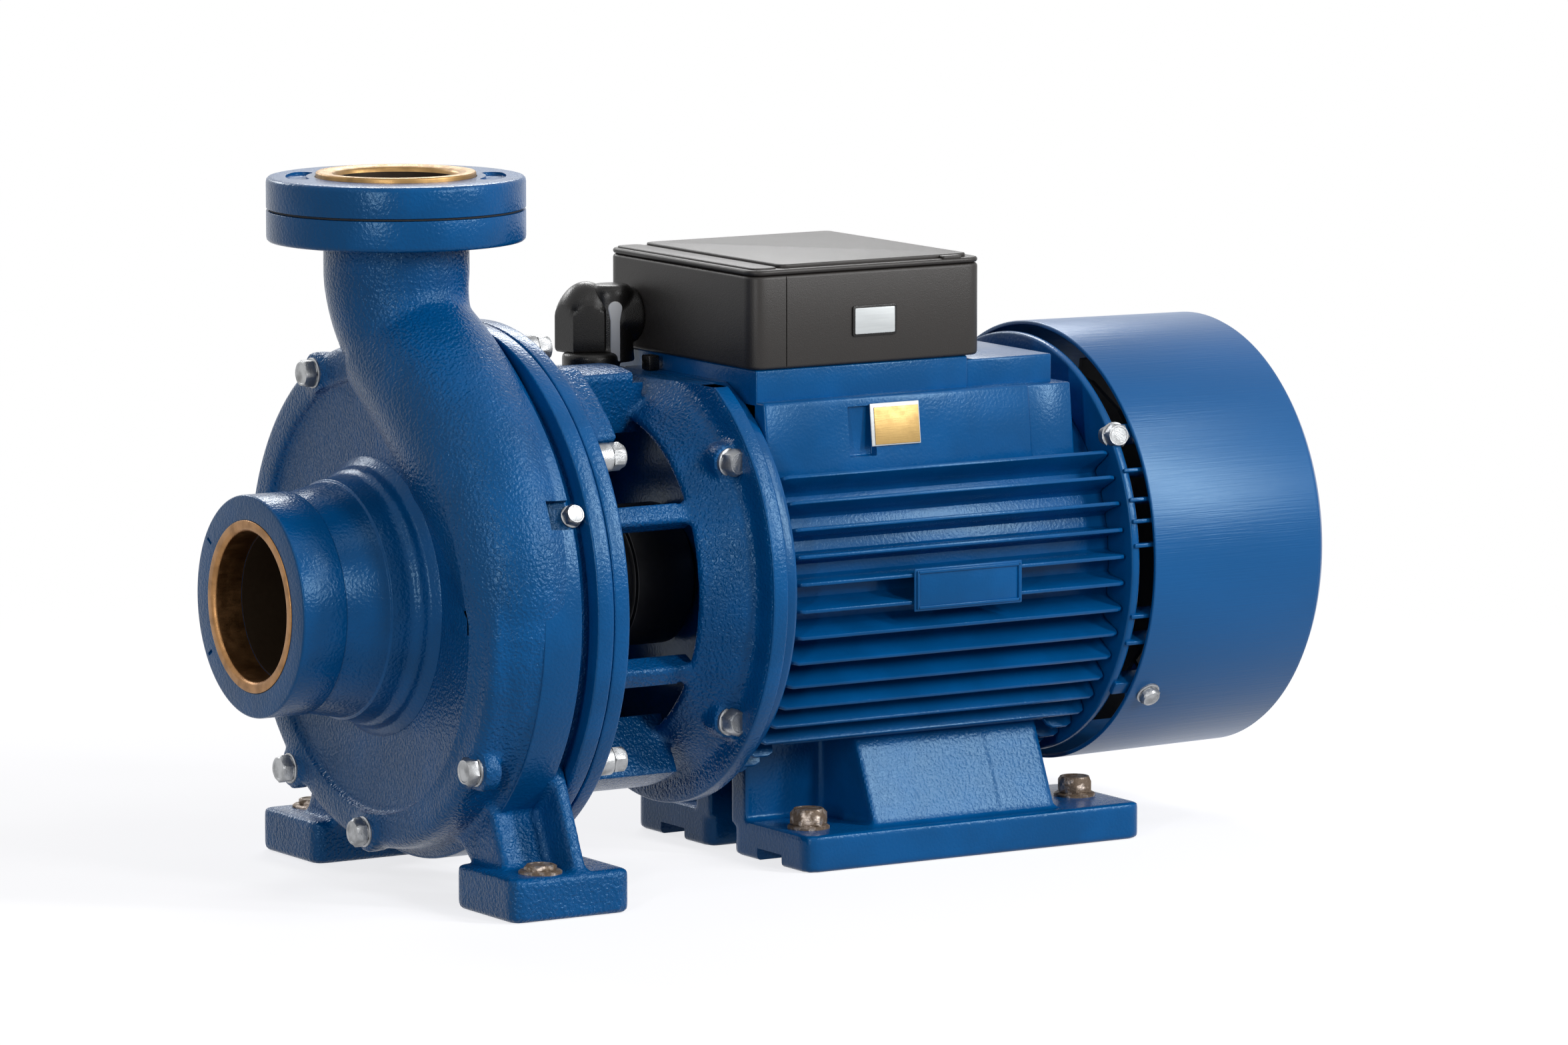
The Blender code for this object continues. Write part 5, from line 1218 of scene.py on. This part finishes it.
class PUMP_OT_terminal_box(bpy.types.Operator):
    """Moulds the terminal box, its lid with the raised panel, and the latch"""

    bl_idname = "pump.terminal_box"
    bl_label = "Terminal box"

    def execute(self, context):
        x0, x1 = BOX_X
        corners = [(x0, -BOX_Y), (x1, -BOX_Y), (x1, BOX_Y), (x0, BOX_Y)]
        outline = rounded(corners, 0.012, 8)
        box = prism("box_body", outline, BOX_Z[0], BOX_Z[1], "Z", 0.0022)
        seam_x = 0.2352
        seams = [
            block("seam", (seam_x - 0.0004, seam_x + 0.0004), (-BOX_Y - 0.01, -BOX_Y + 0.0007), (0.0, 1.0)),
            block("seam", (seam_x - 0.0004, seam_x + 0.0004), (BOX_Y - 0.0007, BOX_Y + 0.01), (0.0, 1.0)),
        ]
        box = cut(box, *seams, solver="EXACT")
        dress(box, "plastic", stands_for=("terminal_box_body",))
        top = LID_Z[1] - 0.0025
        lid = prism("box_lid", outline, LID_Z[0], top, "Z", 0.0016)
        strip = rounded([(x0 + 0.0035, -BOX_Y + 0.004), (x0 + 0.022, -BOX_Y + 0.004),
                         (x0 + 0.022, BOX_Y - 0.004), (x0 + 0.0035, BOX_Y - 0.004)], 0.006, 4)
        panel = rounded([(x0 + 0.0245, -BOX_Y + 0.006), (x1 - 0.008, -BOX_Y + 0.006),
                         (x1 - 0.008, BOX_Y - 0.006), (x0 + 0.0245, BOX_Y - 0.006)], 0.006, 4)
        latch_x = 0.3625
        lid = gathered("box_lid", [
            lid,
            prism("strip", strip, top - 0.001, top + 0.0012, "Z", 0.0008),
            prism("lid_panel", panel, top - 0.001, LID_Z[1], "Z", 0.0010),
            block("latch", (latch_x - 0.007, latch_x + 0.007), (-BOX_Y + 0.0006, -BOX_Y + 0.010),
                  (top - 0.001, LID_Z[1] - 0.0006), 0.001),
        ])
        dress(lid, "plastic", stands_for=("terminal_box_lid",))
        shoe = block("box_shoe", (x0 - 0.0095, x0 - 0.0015), (0.022, 0.032), (SHAFT_Z + 0.1287, BOX_Z[0] - 0.0008), 0.001)
        dress(shoe, "glossy_plastic")
        return {"FINISHED"}


def hex_dome(name, place, radius, z_span):
    """An upright six-sided cap whose corners run out into a domed top."""
    low, high = z_span
    waist = low + (high - low) * 0.22
    rings = []
    stations = [(low, 0.93), (low + 0.0012, 0.98), (low + 0.0026, 1.0)]
    stations += [(waist + (high - waist) * math.sin(math.radians(turn)), 1.0) for turn in (0, 8, 16, 22, 27, 32, 37, 42, 48,
                                                                                          54, 60, 66, 72, 78, 83, 87)]
    for z, share in stations:
        dome = radius * 1.10 * math.sqrt(max(0.0, 1.0 - max(0.0, (z - waist) / (high - waist)) ** 2))
        ring = []
        for k in range(48):
            angle = 360.0 * k / 48
            side = radius * math.cos(math.radians(30.0)) / math.cos(math.radians(angle % 60.0 - 30.0))
            reach = min(side * share, dome)
            turn = math.radians(angle + 35.3)
            ring.append((place[0] + reach * math.cos(turn), place[1] + reach * math.sin(turn), z))
        rings.append(ring)
    return loft(name, rings, 16.0)


class PUMP_OT_cable_gland(bpy.types.Operator):
    """Moulds the gland's elbow and its six-sided cap, and lays a pale strip on the elbow as a painted highlight"""

    bl_idname = "pump.cable_gland"
    bl_label = "Cable gland"

    def execute(self, context):
        y = sum(span("gland_cap", 1)) / 2.0
        foot = span("gland_elbow", 2)[0]
        box_front = span("gland_elbow", 0)[1]
        base = turned("gland_base", rounded([
            (foot, 0.0, 0.0), (foot, 0.0190, 0.001), (foot + 0.0085, 0.0190, 0.002), (foot + 0.0105, 0.0160, 0.001),
            (foot + 0.0105, 0.0, 0.0),
        ], 0.001, 3, False), 64, (0.1790, y, 0.0), upright=True)
        body_x, radius, crown = 0.1940, 0.0147, foot + 0.0540
        body = turned("body", rounded([
            (foot + 0.0035, 0.0, 0.0), (foot + 0.0035, radius + 0.0010, 0.001), (foot + 0.0140, radius, 0.004),
            (crown, radius, 0.0085), (crown, 0.0, 0.0),
        ], 0.001, 8, False), 64, (body_x, y, 0.0), upright=True)
        arm = turned("arm", rounded([
            (body_x, 0.0, 0.0), (body_x, 0.0155, 0.0), (box_front, 0.0185, 0.001), (box_front, 0.0, 0.0),
        ], 0.001, 3, False), 64, (0.0, y, foot + 0.0330))
        elbow = cast("gland_body", [base, body, arm], 0.0009, 3, 0.5)
        dress(elbow, "glossy_plastic", stands_for=("gland_elbow",))
        dress(hex_dome("gland_hex_cap", (0.1800, y + 0.0080), 0.0205, (foot + 0.0098, foot + 0.0555)), "glossy_plastic",
              stands_for=("gland_cap",))
        # A pale strip on the elbow's near side: a painted highlight
        outline = arc((0.0, foot + 0.0392), 0.0047, -20.0, 200.0, 14) + [
            (-0.0032, foot + 0.0310), (-0.0032, foot + 0.0045), (0.0032, foot + 0.0045), (0.0032, foot + 0.0310)]
        highlight_strip = prism("gland_painted_highlight", outline, -radius - 0.0012, -radius + 0.0035, "Y", 0.0007)
        there = Matrix.Translation((body_x + AXIS_X, y, 0.0)) @ Matrix.Rotation(math.radians(-19.0), 4, "Z")
        highlight_strip.data.transform(there @ Matrix.Translation((-AXIS_X, 0.0, 0.0)))
        dress(highlight_strip, "grey_painted_highlight")
        return {"FINISHED"}


class PUMP_OT_plates(bpy.types.Operator):
    """Stamps the bare nameplate, the side plate and the box's label"""

    bl_idname = "pump.plates"
    bl_label = "Plates"

    def execute(self, context):
        (x0, x1), (y0, y1), (z0, z1) = (span("nameplate", axis) for axis in range(3))
        lean = math.atan2(PANEL_Y[0] - PANEL_Y[1], PANEL_RISE[1] - PANEL_RISE[0])
        height = (z1 - z0) / math.cos(lean)
        middle = ((x0 + x1) / 2.0, -panel_half_width((z0 + z1) / 2.0) - 0.0003, (z0 + z1) / 2.0)

        def leaning(name, across, up, thick, edge, raise_by=0.0):
            """A small plate on the panel's slope, given by its spans across and up it."""
            obj = prism(name, [(across[0], up[0]), (across[1], up[0]), (across[1], up[1]), (across[0], up[1])],
                        raise_by, raise_by + thick, "Z", edge)
            tilt = Matrix.Rotation(math.pi / 2 - lean, 4, "X")
            home = Matrix.Translation((-AXIS_X, 0.0, 0.0))
            there = Matrix.Translation((middle[0] + AXIS_X, middle[1], middle[2]))
            obj.data.transform(there @ tilt @ home)
            return obj

        half = (x1 - x0) / 2.0
        edging = leaning("plate_edging", (-half, half), (-height / 2, height / 2), 0.0011, 0.0004)
        plate = leaning("plate", (-half + 0.0026, half - 0.0009), (-height / 2 + 0.0009, height / 2 - 0.0026), 0.0006, 0.0002,
                        0.0010)
        dress(edging, "label")
        dress(plate, "plate_brass", stands_for=("nameplate",))
        (x0, x1), (y0, y1), (z0, z1) = (span("side_plate", axis) for axis in range(3))
        side = gathered("side_badge", [
            block("badge", (x0, x1), (y0 + 0.0012, y1), (z0, z1), 0.001),
            block("rim", (x0 + 0.002, x1 - 0.002), (y0, y1), (z1 - 0.0035, z1 - 0.0015), 0.0005),
            block("rim", (x0 + 0.002, x1 - 0.002), (y0, y1), (z0 + 0.0015, z0 + 0.0035), 0.0005),
            block("rim", (x0 + 0.0015, x0 + 0.0035), (y0, y1), (z0 + 0.0015, z1 - 0.0015), 0.0005),
            block("rim", (x1 - 0.0035, x1 - 0.0015), (y0, y1), (z0 + 0.0015, z1 - 0.0015), 0.0005),
        ])
        dress(side, "frame_paint", stands_for=("side_plate",))
        (x0, x1), (y0, y1), (z0, z1) = (span("box_label", axis) for axis in range(3))
        outline = rounded([(x0 + 0.0016, z0 + 0.0016), (x1 - 0.0016, z0 + 0.0016),
                           (x1 - 0.0016, z1 - 0.0016), (x0 + 0.0016, z1 - 0.0016)], 0.001, 4)
        label = prism("label", outline, y0, y1, "Y", 0.0002)
        dress(label, "label", stands_for=("box_label",))
        outline = rounded([(x0, z0), (x1, z0), (x1, z1), (x0, z1)], 0.002, 6)
        border = prism("label_frame", outline, y0 + 0.0004, y1, "Y", 0.0003)
        dress(border, "glossy_plastic")
        return {"FINISHED"}


def panel_half_width(z):
    """How far the sloping side panel stands out from the middle plane at height z."""
    share = (z - SHAFT_Z - PANEL_RISE[0]) / (PANEL_RISE[1] - PANEL_RISE[0])
    return PANEL_Y[0] + (PANEL_Y[1] - PANEL_Y[0]) * share


class PUMP_OT_bolts(bpy.types.Operator):
    """Sets the bolts of the casing, the bracket, the cowl and the feet"""

    bl_idname = "pump.bolts"
    bl_label = "Bolts"

    def execute(self, context):
        sizes = context.scene.pump_sizes
        width = sizes.case_bolt
        made = []
        for i, (angle, radius, back) in enumerate(CASE_BOLTS):
            y, z = polar(angle, radius)
            made.append(hex_bolt("bolt", (CASING_FRONT_X - 0.0016 + back, y, z), (-1, 0, 0), width, 0.0095,
                                 width * 0.60, 17.0 * i))
        dress(gathered("case_bolts", made), "zinc")
        made = []
        ring_rear = BRACKET_X[0] + 0.012
        for i, angle in enumerate((77.0, 37.0, -37.0, -70.0, 103.0, 143.0, 217.0)):
            y, z = polar(angle, 0.1605)
            made.append(hex_bolt("bolt", (ring_rear + 0.0075, y, z), (1, -0.06, 0.02), width * 0.95, 0.0115,
                                 width * 0.56, 23.0 * i, 0.009))
        for angle in (23.0, 157.0):
            y, z = polar(angle, BAND_RADIUS - 0.006)
            out = Vector((0.0, *polar(angle, 1.0))) - Vector((0.0, 0.0, SHAFT_Z))
            made.append(hex_bolt("bolt", (0.0385, y, z), out, width * 0.74, 0.0075, width * 0.44, 11.0))
        dress(gathered("ring_bolts", made), "zinc")
        made = []
        for i, (angle, side) in enumerate(((38.0, -1), (-38.0, -1))):
            y, z = polar(angle, 0.136)
            made.append(hex_bolt("bolt", (0.184, y + 0.004, z), (0.15, side, 0.0), width * 0.94, 0.0110,
                                 width * 0.56, 13.0 * i))
        dress(gathered("bracket_bolts", made), "zinc")
        made = []
        width = sizes.cowl_screw
        y, z = polar(37.0, 0.1365)
        made.append(hex_bolt("bolt", (REAR_SHIELD_X[0] + 0.0060, y, z), (-0.25, -1, 0.12), width * 1.15, 0.0100,
                             width * 0.70, 9.0, 0.006))
        for angle in (-37.7, 217.7):
            out = Vector((0.0, *polar(angle, 1.0))) - Vector((0.0, 0.0, SHAFT_Z))
            y, z = polar(angle, COWL_RADIUS - 0.0003)
            made.append(hex_bolt("bolt", (0.500, y, z), out, width, 0.0065, width * 0.66, 5.0, 0.0005))
        dress(gathered("cowl_screws", made), "zinc")
        made = []
        width = sizes.anchor_bolt
        for side in (-1, 1):
            for x, y, z, spin in ((0.262, -0.075, 0.024, 12.0), (0.480, -0.060, 0.024, 40.0),
                                  (0.018, -0.147, PAD_HEIGHT, 25.0)):
                low = z == PAD_HEIGHT
                made.append(hex_bolt("bolt", (x, side * abs(y), z - 0.0006), (0, 0, 1), width * (0.9 if low else 1.0),
                                     0.006 if low else 0.0135, width * 0.66, spin + 8.0 * side))
        dress(gathered("anchor_bolts", made), "anchor")
        return {"FINISHED"}


class PUMP_OT_inner_works(bpy.types.Operator):
    """Finishes the rotor, bearings and cover, and turns the coupling sleeve smooth"""

    bl_idname = "pump.inner_works"
    bl_label = "Inner works"

    def execute(self, context):
        finishes = {
            "casing_cover": "iron", "seal_housing": "dark_steel", "front_bearing": "steel", "rear_bearing": "steel",
            "shaft": "steel", "impeller": "bronze", "impeller_nut": "bronze", "cooling_fan": "fan",
        }
        for node, finish in finishes.items():
            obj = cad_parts[node]
            obj.data.materials.clear()
            obj.data.materials.append(FINISHES[finish])
        x0, x1 = SLEEVE_X
        groove = (x0 + x1) / 2.0
        inner = 0.0195
        sleeve = turned("sleeve", rounded([
            (x0, SLEEVE_RADIUS, 0.003), (groove - 0.002, SLEEVE_RADIUS, 0.0006), (groove - 0.002, SLEEVE_RADIUS - 0.003),
            (groove + 0.002, SLEEVE_RADIUS - 0.003), (groove + 0.002, SLEEVE_RADIUS, 0.0006), (x1, SLEEVE_RADIUS, 0.003),
            (x1, inner, 0.0), (x0, inner, 0.0),
        ], 0.0006), 120)
        dress(sleeve, "dark_steel", "rotor", ("coupling_sleeve",))
        return {"FINISHED"}


def studio_material(colour):
    """A pale floor that keeps the shadow near the pump and fades to the white backdrop farther out."""
    made = bpy.data.materials.new("studio_floor")
    made.use_nodes = True
    tree = made.node_tree
    shop = Shop(tree)
    shader = tree.nodes["Principled BSDF"]
    distance = shop.node("ShaderNodeVectorMath", {"operation": "LENGTH"}, {0: shop.place()}, "Value")
    far = distance.between(0.40, 1.25)
    black, glow, white = (0.0, 0.0, 0.0, 1.0), (0.76, 0.76, 0.77, 1.0), (1.0, 1.0, 1.0, 1.0)
    shop.feed(shader.inputs["Base Color"], shop.blend(far, colour, black))
    shop.feed(shader.inputs["Emission Color"], shop.blend(seen_directly(shop), black, shop.blend(far, glow, white)))
    shader.inputs["Emission Strength"].default_value = 1.0
    shader.inputs["Roughness"].default_value = 0.9
    shader.inputs["Specular IOR Level"].default_value = 0.0
    return made


def seen_directly(shop):
    """1 on the rays that show the backdrop: those of the camera, of metal and of glass."""
    path = shop.tree.nodes.new("ShaderNodeLightPath")
    rays = [Wire(shop, path.outputs[name]) for name in ("Is Camera Ray", "Is Glossy Ray", "Is Transmission Ray")]
    return rays[0] + rays[1] + rays[2] > 0.5


def softbox(name, azimuth, elevation, distance, size, watts, target):
    """A rectangular area lamp on a sphere about the pump, aimed at it."""
    data = bpy.data.lights.new(name, "AREA")
    data.shape = "RECTANGLE"
    data.size, data.size_y = size
    data.energy = watts
    lamp = bpy.data.objects.new(name, data)
    bpy.context.scene.collection.objects.link(lamp)
    a, e = math.radians(azimuth), math.radians(elevation)
    back = Vector((math.sin(a) * math.cos(e), -math.cos(a) * math.cos(e), math.sin(e)))
    lamp.location = target + back * distance
    lamp.rotation_euler = (-back).to_track_quat("-Z", "Y").to_euler()


AMBIENT = 0.09

# Camera fitted to the photograph, in the pump's frame
VIEW_TARGET = (0.2901, 0.0, 0.2133)
VIEW_AZIMUTH = -32.0
VIEW_ELEVATION = 7.7
VIEW_DISTANCE = 5.6467
VIEW_LENS = 197.81


class PUMP_OT_studio(bpy.types.Operator):
    """Sets the camera, the floor, the background and the lamps"""

    bl_idname = "pump.studio"
    bl_label = "Studio"

    def execute(self, context):
        scene = context.scene
        target = Vector((VIEW_TARGET[0] + AXIS_X, VIEW_TARGET[1], VIEW_TARGET[2]))
        a, e = math.radians(VIEW_AZIMUTH), math.radians(VIEW_ELEVATION)
        back = Vector((math.sin(a) * math.cos(e), -math.cos(a) * math.cos(e), math.sin(e)))
        data = bpy.data.cameras.new("view")
        data.lens = VIEW_LENS
        data.sensor_width = 36.0
        data.clip_end = 100.0
        camera = bpy.data.objects.new("view", data)
        scene.collection.objects.link(camera)
        camera.location = target + back * VIEW_DISTANCE
        camera.rotation_euler = (-back).to_track_quat("-Z", "Y").to_euler()
        scene.camera = camera
        scene.view_settings.view_transform = "Standard"

        bm = bmesh.new()
        bmesh.ops.create_grid(bm, x_segments=4, y_segments=4, size=14.0)
        floor = shaped("floor", bm)
        floor.data.transform(Matrix.Translation((0.0, 0.0, -0.0002)))
        floor.data.materials.append(studio_material(scene.pump_colours.floor))

        world = bpy.data.worlds.new("studio")
        world.use_nodes = True
        scene.world = world
        shop = Shop(world.node_tree)
        strength = AMBIENT + seen_directly(shop) * (1.0 - AMBIENT)
        background = world.node_tree.nodes["Background"]
        background.inputs["Color"].default_value = (1.0, 1.0, 1.0, 1.0)
        shop.feed(background.inputs["Strength"], strength)

        middle = Vector((0.0, 0.0, 0.22))
        softbox("key", 37.0, 26.0, 3.0, (0.25, 1.6), 46.0, middle)
        softbox("upper", 48.0, 47.0, 3.0, (0.55, 0.35), 10.0, middle)
        softbox("front", 13.0, 22.0, 3.0, (0.36, 0.90), 24.0, middle)
        softbox("front_left", -50.0, 12.0, 3.0, (0.15, 1.15), 20.0, middle)
        softbox("left", -66.0, 42.0, 3.0, (0.18, 1.0), 4.0, middle)
        softbox("top", -8.0, 66.0, 2.6, (1.6, 0.12), 3.0, middle)
        softbox("rear", 150.0, 35.0, 3.2, (1.2, 0.6), 30.0, middle)
        softbox("back", -172.0, 28.0, 3.2, (1.2, 0.6), 22.0, middle)
        return {"FINISHED"}


PIECES = (
    PUMP_OT_studio, PUMP_OT_volute_casing, PUMP_OT_port_rings, PUMP_OT_lantern_bracket, PUMP_OT_motor_shields,
    PUMP_OT_motor_frame, PUMP_OT_motor_feet, PUMP_OT_fan_cowl, PUMP_OT_terminal_box, PUMP_OT_cable_gland,
    PUMP_OT_plates, PUMP_OT_bolts, PUMP_OT_inner_works,
)


class PUMP_PT_finish(bpy.types.Panel):
    """Lists the sizes, the colours and the pieces"""

    bl_idname = "PUMP_PT_finish"
    bl_label = "Pump finish"
    bl_space_type = "VIEW_3D"
    bl_region_type = "UI"
    bl_category = "Pump"

    def draw(self, context):
        for group in (context.scene.pump_sizes, context.scene.pump_colours):
            for name in group.__annotations__:
                self.layout.prop(group, name)
        for piece in PIECES:
            self.layout.operator(piece.bl_idname)


CLASSES = (PumpColours, PumpSizes, *PIECES, PUMP_PT_finish)


def register():
    for item in CLASSES:
        bpy.utils.register_class(item)
    bpy.types.Scene.pump_sizes = PointerProperty(type=PumpSizes)
    bpy.types.Scene.pump_colours = PointerProperty(type=PumpColours)


def unregister():
    del bpy.types.Scene.pump_colours
    del bpy.types.Scene.pump_sizes
    for item in reversed(CLASSES):
        bpy.utils.unregister_class(item)


def main():
    register()
    make_finishes(bpy.context.scene.pump_colours)
    for piece in PIECES:
        group, name = piece.bl_idname.split(".")
        getattr(getattr(bpy.ops, group), name)()


if __name__ == "__main__":
    main()
